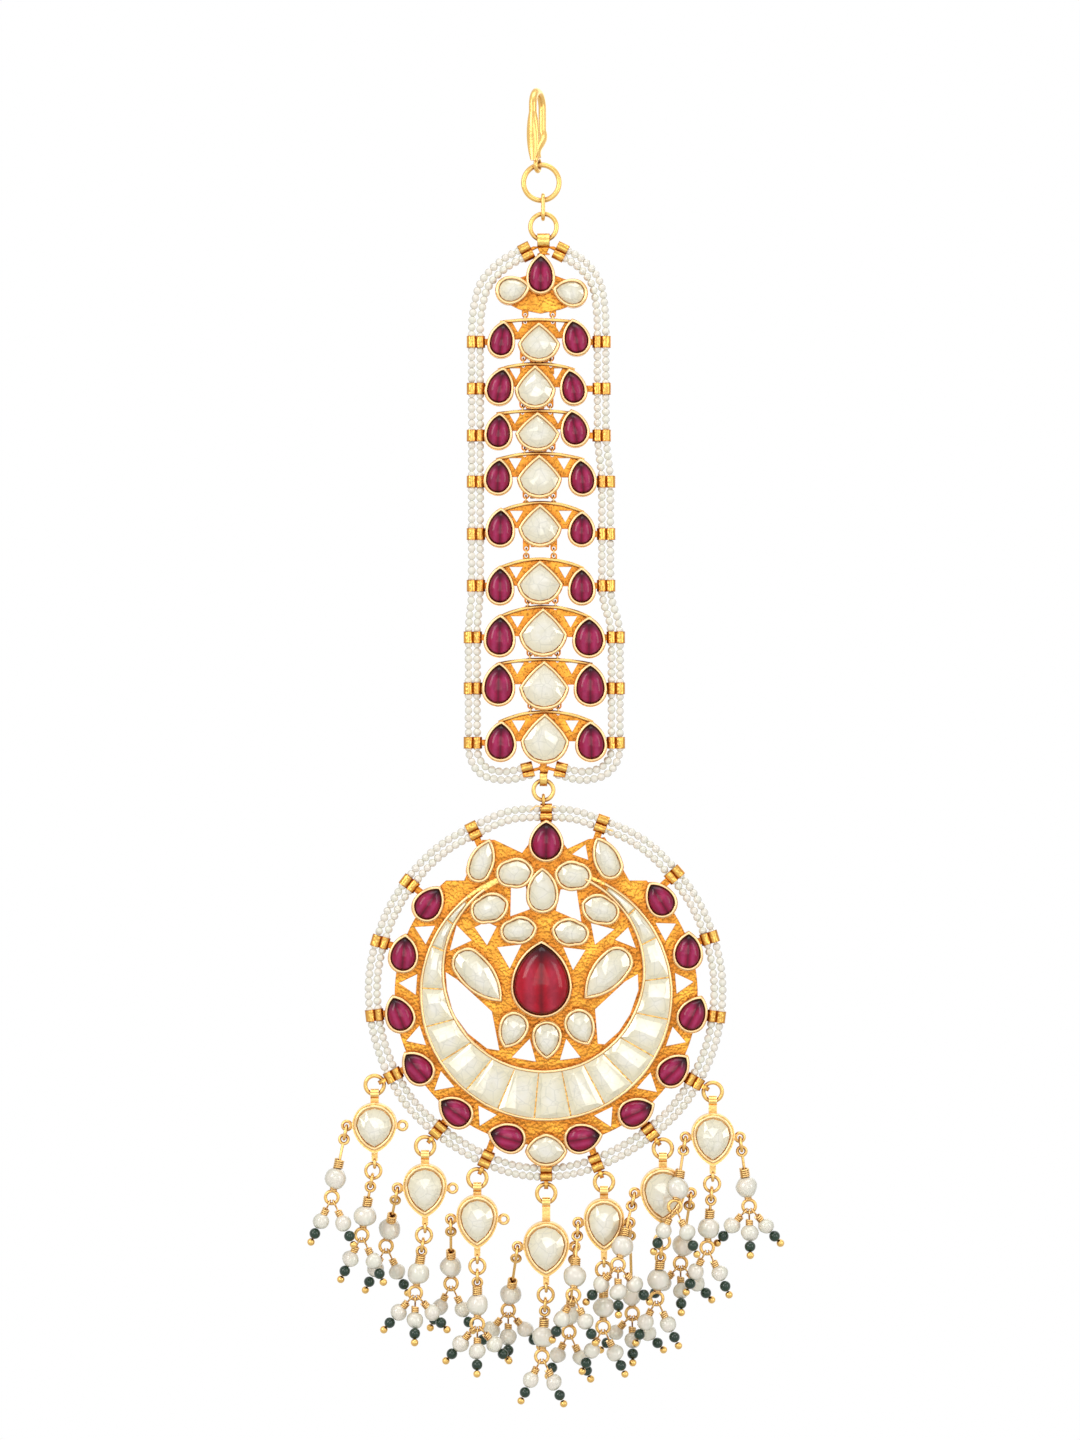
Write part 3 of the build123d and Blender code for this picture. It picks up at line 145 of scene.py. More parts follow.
# Each pearl drop hangs from an eye of a cup. x, y and z place the middle of its large pearl.
Fringe = namedtuple("Fringe", "drop eye x y z pins")
FRINGE = [Fringe(*row) for row in (
    (1, "left", -29.6, -1.2, -157.0, 2), (1, "foot", -25.4, 0, -162.6, 2), (2, "left", -22.0, 3.3, -165.0, 2),
    (2, "foot", -17.7, 0, -171.0, 3), (3, "left", -13.0, 3.3, -170.4, 2), (3, "foot", -9.1, 0, -175.5, 3),
    (4, "left", -4.3, 4.4, -174.6, 3), (4, "foot", 0.45, 0, -180.2, 2), (5, "left", 5.0, -3.3, -170.9, 2),
    (5, "foot", 9.2, 0, -175.9, 2), (6, "left", 11.9, -3.3, -166.6, 3), (6, "foot", 17.2, 0, -171.8, 2),
    (7, "left", 19.9, -3.3, -158.2, 2), (7, "foot", 24.5, 0, -164.4, 2), (7, "right", 30.0, 0, -158.4, 3),
    (4, "right", 4.4, 3.5, -177.4, 2), (5, "right", 13.4, 3.3, -174.6, 3),
    (6, "right", 20.9, 3.3, -167.4, 3))]
LARGE_PEARL = 3.2           # diameters of the beads
SMALL_PEARL = 2.4
GREEN_BEAD = 1.6
GOLD_BALL = 1.1
EYE = 0.62                  # mean radius of the eyes round a cup
LOW_EYE = 0.92              # mean radius of the eye under a large pearl
LOW_EYE_DROP = 0.32         # from the large pearl down to the middle of that eye
LOW_EYE_WIRE = 0.48
LINK_PLAY = 0.1             # between two eyes that hang in each other
PIN_EYE = 0.5               # mean radius of the eye of a pin
PIN_WIRE = 0.26
PIN_DROP = 2.9              # from the large pearl's eye to a small pearl
BEAD_PLAY = 0.04            # between the beads of a pin
# Turn to the side and lean to the front, in degrees, of each pin where two or three hang together.
PIN_SPREAD = {2: ((-25, -4), (25, 4)), 3: ((-40, -8), (0, 28), (40, -8))}
# Radius, length and turns of the coils over and under a large pearl and over a small one.
TOP_COIL = (0.60, 1.25, 4.2)
FOOT_COIL = (0.42, 0.32, 1.3)
PIN_COIL = (0.42, 0.90, 3.2)
WINDING_WIRE = 0.15         # radius of the coils' wire
STRAND_WIRE = 0.11          # radius of the wire that seed pearls are strung on
ASKEW = Vector((0.31, 0.83, 0.47))      # along no wire, to find the sides of a coil


# ---------------------------------------------------------------- shapes
def arc_points(start, end, sagitta, count):
    """Points inside the arc from start to end that bulges to the right of the way by the sagitta."""
    start, end = Vector(start), Vector(end)
    half = (end - start).length / 2
    along = (end - start).normalized()
    right = Vector((along.y, -along.x))
    radius = (half**2 + sagitta**2) / (2 * sagitta)
    centre = (start + end) * 0.5 + right * (sagitta - radius)
    sweep = asin(min(1.0, half / radius))
    if sagitta > half:
        sweep = pi - sweep
    points = []
    for step in range(1, count + 1):
        angle = sweep * (2 * step / (count + 1) - 1)
        point = centre + right * (radius * cos(angle)) + along * (radius * sin(angle))
        points.append((point.x, point.y))
    return points


def petal(width, length, full, round_steps=15, side_steps=9):
    """Outline of a teardrop centred on its own box, counterclockwise from its left waist."""
    waist = min(width / 2, 0.45 * length)
    left = (-width / 2, waist - length / 2)
    right = (width / 2, waist - length / 2)
    tip = (0, length / 2)
    bulge = full * hypot(width / 2, length - waist)
    return [left, *arc_points(left, right, waist, round_steps), right,
            *arc_points(right, tip, bulge, side_steps), tip, *arc_points(tip, left, bulge, side_steps)]


def placed(outline, stone):
    """The outline turned and moved to where the stone lies."""
    turn = radians(stone.turn)
    return [(stone.x + x * cos(turn) - z * sin(turn), stone.z + x * sin(turn) + z * cos(turn))
            for x, z in outline]


def grown(stone, by):
    """The outline of a stone's petal grown by a distance on each side."""
    return placed(petal(stone.width + 2 * by, stone.length + 2.3 * by, stone.full), stone)


class Shape:
    """Collects the vertices and faces of many small solids that become one mesh."""

    def __init__(self):
        self.points = []
        self.faces = []
        self.across = []
        self.along = []

    def ring(self, outline, height):
        """Adds a ring of points at a height and returns their numbers."""
        first = len(self.points)
        self.points += [(x, -height, z) for x, z in outline]
        return list(range(first, len(self.points)))

    def band(self, low, high):
        """Joins two rings, from the back one to the front one."""
        count = len(low)
        for index in range(count):
            after = (index + 1) % count
            self.faces.append((low[index], low[after], high[after], high[index]))

    def point(self, x, z, height):
        """Adds one point and returns its number."""
        self.points.append((x, -height, z))
        return len(self.points) - 1

    def fan(self, ring, x, z, height):
        """Closes a front ring over a middle point."""
        middle = self.point(x, z, height)
        for index, corner in enumerate(ring):
            self.faces.append((corner, ring[(index + 1) % len(ring)], middle))

    def cap_back(self, ring):
        """Closes a back ring."""
        self.faces.append(tuple(reversed(ring)))

    def mesh(self, name):
        """A mesh of the whole shape, with what mark has noted."""
        mesh = plain_mesh(name, [Vector(point) * MM for point in self.points], faces=self.faces)
        for key, values in (("across", self.across), ("along", self.along)):
            if values:
                mesh.attributes.new(key, "FLOAT", "POINT").data.foreach_set("value", values)
        mesh.validate()
        return mesh

    def mark(self, stone):
        """Notes how far across and along the stone, from -1 to 1, each point since the last mark lies."""
        turn = radians(stone.turn)
        for x, _, z in self.points[len(self.across):]:
            x, z = x - stone.x, z - stone.z
            self.across.append(2 * (x * cos(turn) + z * sin(turn)) / stone.width)
            self.along.append(2 * (z * cos(turn) - x * sin(turn)) / stone.length)


def shrunk(outline, heart, scale):
    """The outline scaled towards its heart."""
    return [(heart[0] + (x - heart[0]) * scale, heart[1] + (z - heart[1]) * scale) for x, z in outline]


def heart_of(stone, rise=0.08):
    """The middle of a petal's round part, a little towards the tip."""
    waist = min(stone.width / 2, 0.45 * stone.length)
    return placed([(0, waist - stone.length / 2 + rise * stone.length)], stone)[0]


def cabochon(shape, stone, rise, base=STONE_BED, top=BEZEL_TOP, steps=9):
    """A domed stone with a straight girdle and a smooth crown."""
    outline = placed(petal(stone.width, stone.length, stone.full), stone)
    heart = heart_of(stone)
    low = shape.ring(outline, base)
    shape.cap_back(low)
    for step in range(steps):
        angle = radians(86 * step / (steps - 1))
        scale = cos(angle) ** 0.8
        level = shape.ring(shrunk(outline, heart, scale), top - SUNK + (rise + 0.1) * sin(angle))
        shape.band(low, level)
        low = level
    shape.fan(low, *heart, top + rise)
    shape.mark(stone)


def flat_cut(shape, stone, rise, base=STONE_BED, top=BEZEL_TOP, ridge=0.16):
    """A hand-cut flat stone: a girdle, uneven crown facets and a table with a low ridge along its middle."""
    outline = placed(petal(stone.width, stone.length, stone.full, 5, 2), stone)
    count = len(outline)
    heart = heart_of(stone, 0.14)
    low = shape.ring(outline, base)
    shape.cap_back(low)
    girdle = shape.ring(outline, top - 0.05)
    shape.band(low, girdle)
    crown = []
    for x, z in shrunk(outline, heart, TABLE_SHARE):
        shift = noise.random() * 0.1 - 0.05
        crown.append(shape.point(x + shift, z + shift, top + rise * (0.7 + 0.2 * noise.random())))
    for index in range(count):
        after = (index + 1) % count
        shape.faces.append((girdle[index], girdle[after], crown[after]))
        shape.faces.append((girdle[index], crown[after], crown[index]))
    turn = radians(stone.turn)
    reach = 0.2 * (stone.length - stone.width / 2)
    upper, lower = (shape.point(heart[0] - sin(turn) * along, heart[1] + cos(turn) * along,
                                top + rise * 0.9 + ridge) for along in (reach, -0.7 * reach))
    # The outline runs from the left waist round the foot to the right waist, then over the tip and back.
    left, right = 0, count // 2
    for index in range(count):
        end = lower if index < right else upper
        shape.faces.append((crown[index], crown[(index + 1) % count], end))
    shape.faces.append((crown[left], lower, upper))
    shape.faces.append((crown[right], upper, lower))
    shape.mark(stone)


def polar(radius, angle, centre=MEDAL):
    """A place at a distance and a direction in degrees from a centre."""
    return centre[0] + radius * cos(radians(angle)), centre[1] + radius * sin(radians(angle))


def channel_ends(angle):
    """Where a ray from the medallion's centre meets the inner and the outer wall of the crescent."""
    heading = Vector((cos(radians(angle)), sin(radians(angle))))
    offset = Vector((MEDAL[0] - CRESCENT_INNER_CENTRE[0], MEDAL[1] - CRESCENT_INNER_CENTRE[1]))
    along = offset.dot(heading)
    inner = CRESCENT_INNER + CRESCENT_WALL
    near = -along + (along**2 - offset.dot(offset) + inner**2) ** 0.5
    return near, CRESCENT_OUTER - CRESCENT_WALL


def crescent_outline(start, stop, inset):
    """Corners of one crescent stone between two walls, drawn in by the inset, counterclockwise."""
    near_mid, far_mid = channel_ends((start + stop) / 2)
    margin = degrees((inset + PARTING) / ((near_mid + far_mid) / 2))
    angles = [stop + margin + (start - stop - 2 * margin) * step / 4 for step in range(5)]
    outer = [polar(channel_ends(angle)[1] - inset, angle) for angle in angles]
    inner = [polar(channel_ends(angle)[0] + inset, angle) for angle in reversed(angles)]
    return outer + inner


def crescent_cut(shape, start, stop):
    """A crescent stone with slanted edges and a low ridge that points at the medallion's centre."""
    tight = min(channel_ends(angle)[1] - channel_ends(angle)[0] for angle in (start, stop))
    slope = min(0.55, 0.28 * tight)
    low = shape.ring(crescent_outline(start, stop, STONE_GAP), STONE_BED)
    shape.cap_back(low)
    shoulder = shape.ring(crescent_outline(start, stop, STONE_GAP), BEZEL_TOP + 0.01)
    shape.band(low, shoulder)
    girdle = shape.ring(crescent_outline(start, stop, STONE_GAP - CRESCENT_SPREAD), BEZEL_TOP + 0.06)
    shape.band(shoulder, girdle)
    crown = [shape.point(x, z, BEZEL_TOP + 0.3 + 0.08 * noise.random())
             for x, z in crescent_outline(start, stop, slope)]
    shape.band(girdle, crown)
    middle = (start + stop) / 2 + (noise.random() - 0.5) * 0.2 * (start - stop)
    near, far = channel_ends(middle)
    outer, inner = (shape.point(*polar(end, middle), BEZEL_TOP + TABLE_RISE - 0.02)
                    for end in (far - slope * 1.5, near + slope * 1.5))
    half = len(crown) // 2
    outside, inside = crown[:half], crown[half:]
    for index in range(half - 1):
        shape.faces.append((outside[index], outside[index + 1], outer))
        shape.faces.append((inside[index], inside[index + 1], inner))
    shape.faces += [(outside[-1], inside[0], inner), (outside[-1], inner, outer),
                    (inside[-1], outside[0], outer), (inside[-1], outer, inner)]
    radius = (near + far) / 2
    width = radius * radians(start - stop)
    shape.mark(Stone(*polar(radius, (start + stop) / 2), width, far - near, (start + stop) / 2 - 90))


# ---------------------------------------------------------------- strands' routes
def beside(points, shift):
    """The same route moved sideways, to the right of its way, with mitred corners."""
    moved = []
    for index, point in enumerate(points):
        here = Vector(point)
        way_in = (here - Vector(points[max(index - 1, 0)])).normalized()
        way_out = (Vector(points[min(index + 1, len(points) - 1)]) - here).normalized()
        if not index:
            way_in = way_out
        if index == len(points) - 1:
            way_out = way_in
        normal = Vector((way_in.y + way_out.y, -way_in.x - way_out.x)).normalized()
        miter = normal.x * way_in.y - normal.y * way_in.x
        moved.append(tuple(here + normal * (shift / miter)))
    return moved


def rounded(points, steps=8):
    """The route with each corner rounded by a tangent arc of 0.45 of its shorter run."""
    smooth = [points[0]]
    for before, here, after in zip(points, points[1:], points[2:]):
        here = Vector(here)
        way_in = here - Vector(before)
        way_out = Vector(after) - here
        cut = 0.45 * min(way_in.length, way_out.length)
        start = here - way_in.normalized() * cut
        stop = here + way_out.normalized() * cut
        turn = way_in.angle_signed(way_out)
        sagitta = (stop - start).length / 2 * tan(abs(turn) / 4)
        # angle_signed is positive clockwise, and an arc to the right of its way turns counterclockwise.
        if turn < 0:
            inside = arc_points(start, stop, sagitta, steps)
        else:
            inside = list(reversed(arc_points(stop, start, sagitta, steps)))
        smooth += [tuple(start), *inside, tuple(stop)]
    return smooth + [points[-1]]


def loop_route():
    """The medallion's loop: corners between each two posts, on tangents that touch both."""
    around = [TOP_POST, *POSTS, (TOP_POST[0] - 360, TOP_POST[1])]
    corners = []
    for (at, radius), (next_at, next_radius) in zip(around, around[1:]):
        half = radians(abs(at - next_at) / 2)
        corners.append(polar((radius + next_radius) / 2 / cos(half), (at + next_at) / 2))
    top = MEDAL[1] + TOP_POST[1]
    return [(MEDAL[0] + 0.25, top), *corners, (MEDAL[0] - 0.25, top)]


# ---------------------------------------------------------------- node trees
def feed(tree, node, values):
    """Sets inputs of a node, by name or number. A socket, or the first output of a node, is linked."""
    for name, value in values.items():
        if isinstance(value, bpy.types.Node):
            value = value.outputs[0]
        if isinstance(value, bpy.types.NodeSocket):
            tree.links.new(value, node.inputs[name])
        else:
            node.inputs[name].default_value = value


def add(tree, kind, values=None, **settings):
    """Adds a node, sets its properties, feeds its inputs and returns it."""
    node = tree.nodes.new(kind)
    for name, value in settings.items():
        setattr(node, name, value)
    feed(tree, node, values or {})
    return node


def maths(tree, operation, *values):
    """A Math node on sockets or numbers. Returns its output socket."""
    return add(tree, "ShaderNodeMath", dict(enumerate(values)), operation=operation).outputs[0]


def geometry_tree(name, **sockets):
    """An empty Geometry Nodes tree with these inputs and a material; returns it with its inputs."""
    tree = bpy.data.node_groups.new(name, "GeometryNodeTree")
    for socket, kind in {"Geometry": "Geometry", **sockets, "Material": "Material"}.items():
        tree.interface.new_socket(name=socket, in_out="INPUT", socket_type="NodeSocket" + kind)
    tree.interface.new_socket(name="Geometry", in_out="OUTPUT", socket_type="NodeSocketGeometry")
    return tree, add(tree, "NodeGroupInput").outputs


def finish_tree(tree, inputs, geometry):
    """Realizes the instances, smooths and paints them, sends them out and returns the tree."""
    realize = add(tree, "GeometryNodeRealizeInstances", {"Geometry": geometry})
    shade = add(tree, "GeometryNodeSetShadeSmooth", {"Geometry": realize})
    paint = add(tree, "GeometryNodeSetMaterial", {"Geometry": shade, "Material": inputs["Material"]})
    add(tree, "NodeGroupOutput", {"Geometry": paint})
    return tree


def strung_tree():
    """Beads of slightly uneven size threaded along an edge path."""
    tree, inputs = geometry_tree("strung_beads", Diameter="Float", Pitch="Float", Unevenness="Float",
                                 Seed="Int")
    diameter, seed = inputs["Diameter"], inputs["Seed"]
    spread = maths(tree, "MULTIPLY", diameter, inputs["Unevenness"])
    least = maths(tree, "SUBTRACT", diameter, spread)
    most = maths(tree, "ADD", diameter, spread)
    across, along = (add(tree, "FunctionNodeRandomValue", {2: least, 3: most, "Seed": own},
                         data_type="FLOAT").outputs[1] for own in (seed, maths(tree, "ADD", seed, 7)))
    size = add(tree, "ShaderNodeCombineXYZ", {"X": across, "Y": across, "Z": along})
    curve = add(tree, "GeometryNodeMeshToCurve", {"Mesh": inputs["Geometry"]})
    points = add(tree, "GeometryNodeCurveToPoints", {"Curve": curve, "Length": inputs["Pitch"]},
                 mode="LENGTH")
    bead = add(tree, "GeometryNodeMeshUVSphere", {"Segments": 14, "Rings": 9, "Radius": 0.5})
    beads = add(tree, "GeometryNodeInstanceOnPoints", {
        "Points": points, "Rotation": points.outputs["Rotation"], "Instance": bead, "Scale": size})
    return finish_tree(tree, inputs, beads)


def wire_tree():
    """Round wire along edge paths, with a slight hand-worked wander."""
    tree, inputs = geometry_tree("hand_wire", Radius="Float", Wander="Float")
    curve = add(tree, "GeometryNodeMeshToCurve", {"Mesh": inputs["Geometry"]})
    position = add(tree, "GeometryNodeInputPosition")
    waves = add(tree, "ShaderNodeTexNoise", {"Vector": position, "Scale": 700.0, "Detail": 1.0})
    centred = add(tree, "ShaderNodeVectorMath", {0: waves.outputs["Color"], 1: (0.5, 0.5, 0.5)},
                  operation="SUBTRACT")
    offset = add(tree, "ShaderNodeVectorMath", {0: centred, "Scale": inputs["Wander"]}, operation="SCALE")
    moved = add(tree, "GeometryNodeSetPosition", {"Geometry": curve, "Offset": offset})
    profile = add(tree, "GeometryNodeCurvePrimitiveCircle", {"Resolution": 9, "Radius": inputs["Radius"]})
    swept = add(tree, "GeometryNodeCurveToMesh", {
        "Curve": moved, "Profile Curve": profile, "Fill Caps": True})
    return finish_tree(tree, inputs, swept)


def pearl_tree():
    """Pearls or beads at points, of the size that each point carries, with a soft uneven skin."""
    tree, inputs = geometry_tree("placed_beads", Unevenness="Float", Detail="Int", Seed="Int")
    points = add(tree, "GeometryNodeMeshToPoints", {"Mesh": inputs["Geometry"]})
    ball = add(tree, "GeometryNodeMeshIcoSphere", {"Radius": 0.5, "Subdivisions": inputs["Detail"]})
    size = add(tree, "GeometryNodeInputNamedAttribute", {"Name": "size"}, data_type="FLOAT")
    turn = add(tree, "FunctionNodeRandomValue", {1: (2 * pi, 2 * pi, 2 * pi), "Seed": inputs["Seed"]},
               data_type="FLOAT_VECTOR")
    balls = add(tree, "GeometryNodeInstanceOnPoints", {
        "Points": points, "Rotation": turn, "Instance": ball, "Scale": size})
    realize = add(tree, "GeometryNodeRealizeInstances", {"Geometry": balls})
    position = add(tree, "GeometryNodeInputPosition")
    normal = add(tree, "GeometryNodeInputNormal")
    lumps = add(tree, "ShaderNodeTexNoise", {"Vector": position, "Scale": 420.0, "Detail": 1.0})
    lump = maths(tree, "MULTIPLY", maths(tree, "SUBTRACT", lumps, 0.5), inputs["Unevenness"])
    offset = add(tree, "ShaderNodeVectorMath", {0: normal, "Scale": lump}, operation="SCALE")
    moved = add(tree, "GeometryNodeSetPosition", {"Geometry": realize, "Offset": offset})
    return finish_tree(tree, inputs, moved)


# ---------------------------------------------------------------- meshes and objects
def plain_mesh(name, points, edges=(), faces=()):
    """A mesh of these points, edges and faces, in metres."""
    mesh = bpy.data.meshes.new(name)
    mesh.from_pydata(points, edges, faces)
    return mesh


def put(name, data):
    """Puts a new object with this data into the scene and returns it."""
    thing = bpy.data.objects.new(name, data)
    bpy.context.scene.collection.objects.link(thing)
    return thing


def grow(name, tree, host_mesh, **values):
    """Runs a tree on a host mesh and returns the result as a plain mesh object."""
    host = put(name + "_host", host_mesh)
    modifier = host.modifiers.new("grow", "NODES")
    modifier.node_group = tree
    for item in tree.interface.items_tree:
        key = item.name.lower()
        if item.in_out == "INPUT" and key in values:
            modifier[item.identifier] = values[key]
    graph = bpy.context.evaluated_depsgraph_get()
    mesh = bpy.data.meshes.new_from_object(host.evaluated_get(graph))
    bpy.data.objects.remove(host)
    mesh.name = name
    size = mesh.attributes.get("size")
    if size is not None:
        mesh.attributes.remove(size)
    return show(name, mesh, values["material"], smooth=None)


def show(name, mesh, material, smooth=True):
    """Puts a mesh into the scene with its material. With smooth None the mesh keeps its own shading."""
    piece = put(name, mesh)
    if not mesh.materials or mesh.materials[0] != material:
        mesh.materials.clear()
        mesh.materials.append(material)
    if smooth:
        mesh.shade_smooth()
    elif smooth is not None:
        mesh.shade_flat()
    return piece


def paths(name, routes, height=0.0, closed=False):
    """A mesh of edges along routes. Each point is (x, z), at the height, or (x, y, z)."""
    points, edges = [], []
    for route in routes:
        first = len(points)
        points += [Vector((p[0], -height, p[1])) * MM if len(p) == 2 else Vector(p) * MM for p in route]
        edges += [(first + i, first + i + 1) for i in range(len(route) - 1)]
        if closed:
            edges.append((first + len(route) - 1, first))
    return plain_mesh(name, points, edges)


def spots(name, places):
    """A mesh of loose points, each (place, size), that carry their size."""
    mesh = plain_mesh(name, [Vector(place) * MM for place, size in places])
    sizes = mesh.attributes.new("size", "FLOAT", "POINT")
    sizes.data.foreach_set("value", [size * MM for place, size in places])
    return mesh


# ---------------------------------------------------------------- materials
def mix(tree, factor, first, second):
    """A colour mix; each of factor, first and second is a socket or a value. Returns its output socket."""
    first, second = ((*colour, 1) if isinstance(colour, tuple) else colour for colour in (first, second))
    return add(tree, "ShaderNodeMix", {0: factor, 6: first, 7: second}, data_type="RGBA").outputs[2]


def ramp(tree, value, low, high, to_low=0.0, to_high=1.0):
    """Spreads a value from one range to another. Returns the output socket."""
    return add(tree, "ShaderNodeMapRange", {"Value": value, "From Min": low, "From Max": high,
                                            "To Min": to_low, "To Max": to_high}).outputs[0]


def layered(tree, body, *layers):
    """Lays colours over a body, each by a value and the limits of its ramp. Returns the last socket."""
    for value, limits, colour in layers:
        body = mix(tree, ramp(tree, value, *limits), body, colour)
    return body


def object_place(tree):
    """The Object coordinates of a point."""
    return add(tree, "ShaderNodeTexCoord").outputs["Object"]


def texture(tree, kind, values, **settings):
    """A texture laid by Object coordinates."""
    return add(tree, "ShaderNodeTex" + kind, {"Vector": object_place(tree), **values}, **settings)


def facing(tree, blend):
    """How far a surface turns away from the eye."""
    return add(tree, "ShaderNodeLayerWeight", {"Blend": blend}).outputs["Facing"]


def over_stone(tree):
    """How far across and along its stone a point lies, as Shape's mark has noted."""
    return [add(tree, "ShaderNodeAttribute", attribute_name=name).outputs["Fac"]
            for name in ("across", "along")]


def length_of(tree, vector):
    """The length of a vector socket."""
    return add(tree, "ShaderNodeVectorMath", {0: vector}, operation="LENGTH").outputs["Value"]


def shader_group(name, inputs, outputs):
    """An empty shader node group with these inputs and their values; returns it with its inputs."""
    group = bpy.data.node_groups.new(name, "ShaderNodeTree")
    for socket, value in inputs.items():
        made = group.interface.new_socket(name=socket, in_out="INPUT", socket_type="NodeSocketFloat")
        made.default_value = value
    for socket, kind in outputs.items():
        group.interface.new_socket(name=socket, in_out="OUTPUT", socket_type="NodeSocket" + kind)
    return group, add(group, "NodeGroupInput").outputs


def edge_and_nook_light_group():
    """Edge: 1 on sharp edges, the mask for painted edge light. Nook: 1 in tight corners, the mask for painted
    shade.
    """
    group, inputs = shader_group("edge_and_nook_light", {"Width": 0.0002, "Reach": 0.0012},
                                 {"Edge": "Float", "Nook": "Float"})
    bevel = add(group, "ShaderNodeBevel", {"Radius": inputs["Width"]}, samples=4)
    normal = add(group, "ShaderNodeNewGeometry").outputs["Normal"]
    match = add(group, "ShaderNodeVectorMath", {0: bevel, 1: normal}, operation="DOT_PRODUCT")
    nook = add(group, "ShaderNodeAmbientOcclusion", {"Distance": inputs["Reach"]}, samples=6)
    add(group, "NodeGroupOutput", {"Edge": ramp(group, match.outputs["Value"], 0.995, 0.86),
                                   "Nook": ramp(group, nook.outputs["AO"], 0.92, 0.55)})
    return group


def hand_work_group():
    """Tone: slow changes of colour. Normal: small dents and scratches of hand-worked metal."""
    group, inputs = shader_group("hand_work", {"Scale": 900.0, "Depth": 0.00004},
                                 {"Tone": "Float", "Normal": "Vector"})
    tone = texture(group, "Noise", {"Scale": 340.0, "Detail": 3.0, "Roughness": 0.6})
    dents = texture(group, "Noise", {"Scale": inputs["Scale"], "Detail": 4.0, "Roughness": 0.55})
    scratch = texture(group, "Voronoi", {"Scale": 2600.0}, feature="SMOOTH_F1")
    height = maths(group, "ADD", dents, scratch.outputs["Distance"])
    bump = add(group, "ShaderNodeBump", {"Strength": 0.55, "Height": height, "Distance": inputs["Depth"]})
    add(group, "NodeGroupOutput", {"Tone": tone, "Normal": bump})
    return group


def new_material(name):
    """A new material; returns it with its node tree and its Principled shader."""
    material = bpy.data.materials.new(name)
    material.use_nodes = True
    tree = material.node_tree
    return material, tree, tree.nodes["Principled BSDF"]


# Painted shade: a plate is painted darker where it lies further back and brighter where it stands forward.
LOW_PLATE, HIGH_PLATE = -0.4 * MM, -1.05 * MM       # where plate is darkest and where it is brightest, in Y


def gold_material(name, bright, deep, painted_shade_colour, painted_edge_colour=(0.98, 0.74, 0.44), edge_width=0.0002,
                  roughness=0.24, depth=0.00003, by_height=False):
    """Yellow gold with painted shade in the nooks and a painted colour on sharp edges. By_height paints shade
    on low parts.
    """
    material, tree, surface = new_material(name)
    edges = add(tree, "ShaderNodeGroup", {"Width": edge_width}, node_tree=EDGE_AND_NOOK_LIGHT)
    work = add(tree, "ShaderNodeGroup", {"Depth": depth}, node_tree=HAND_WORK)
    tone = work.outputs["Tone"]
    body = mix(tree, tone, deep, bright)
    if by_height:
        # Painted shade: low parts of the plate are painted towards the shade colour.
        parts = add(tree, "ShaderNodeSeparateXYZ", {0: object_place(tree)})
        level = ramp(tree, parts.outputs["Y"], LOW_PLATE, HIGH_PLATE)
        body = mix(tree, level, mix(tree, tone, deep, painted_shade_colour), bright)
    # Sharp edges get a painted colour: a painted highlight with the pale default, painted shade with a dark
    # one.
    painted_edge_body = mix(tree, edges.outputs["Edge"], body, painted_edge_colour)
    # Painted shade in the nooks, from the ambient occlusion mask.
    shaded = layered(tree, painted_edge_body, (edges.outputs["Nook"], (0.0, 1.0, 0.0, 0.85), painted_shade_colour))
    feed(tree, surface, {"Base Color": shaded, "Metallic": 0.92, "Normal": work.outputs["Normal"],
                         "Roughness": ramp(tree, tone, 0.3, 0.7, roughness - 0.06, roughness + 0.1)})
    return material


def ruby_material(name, heart_colour, rim_colour, painted_highlight_colour):
    """Foil-backed ruby: brightest in the middle, painted shade towards the rim where it turns away, darker
    towards the tip, and two painted highlight bands beside a painted dark reflection along the keel.
    """
    material, tree, surface = new_material(name)
    silk = texture(tree, "Noise", {"Scale": 520.0, "Detail": 4.0, "Roughness": 0.65, "Distortion": 0.8})
    across, along = over_stone(tree)
    from_keel = maths(tree, "ABSOLUTE", across)
    from_band = maths(tree, "ABSOLUTE", maths(tree, "SUBTRACT", from_keel, 0.42))
    # Painted highlight bands on both sides, a painted dark reflection along the keel, painted shade where the
    # dome turns away; the tip is darker and random silky patches take the rim colour.
    colour = layered(tree, heart_colour,
                     (from_band, (0.06, 0.26, 0.62, 0.0), painted_highlight_colour),
                     (from_keel, (0.02, 0.16, 0.75, 0.0), tuple(0.3 * part for part in heart_colour)),
                     (along, (0.25, 0.85), rim_colour),
                     (facing(tree, 0.42), (0.22, 0.66), rim_colour),
                     (silk, (0.4, 0.75, 0.0, 0.4), rim_colour))
    feed(tree, surface, {"Base Color": colour, "Roughness": ramp(tree, silk, 0.3, 0.8, 0.08, 0.2),
                         "IOR": 1.76, "Specular IOR Level": 0.1, "Coat Weight": 0.2, "Coat Roughness": 0.06})
    return material


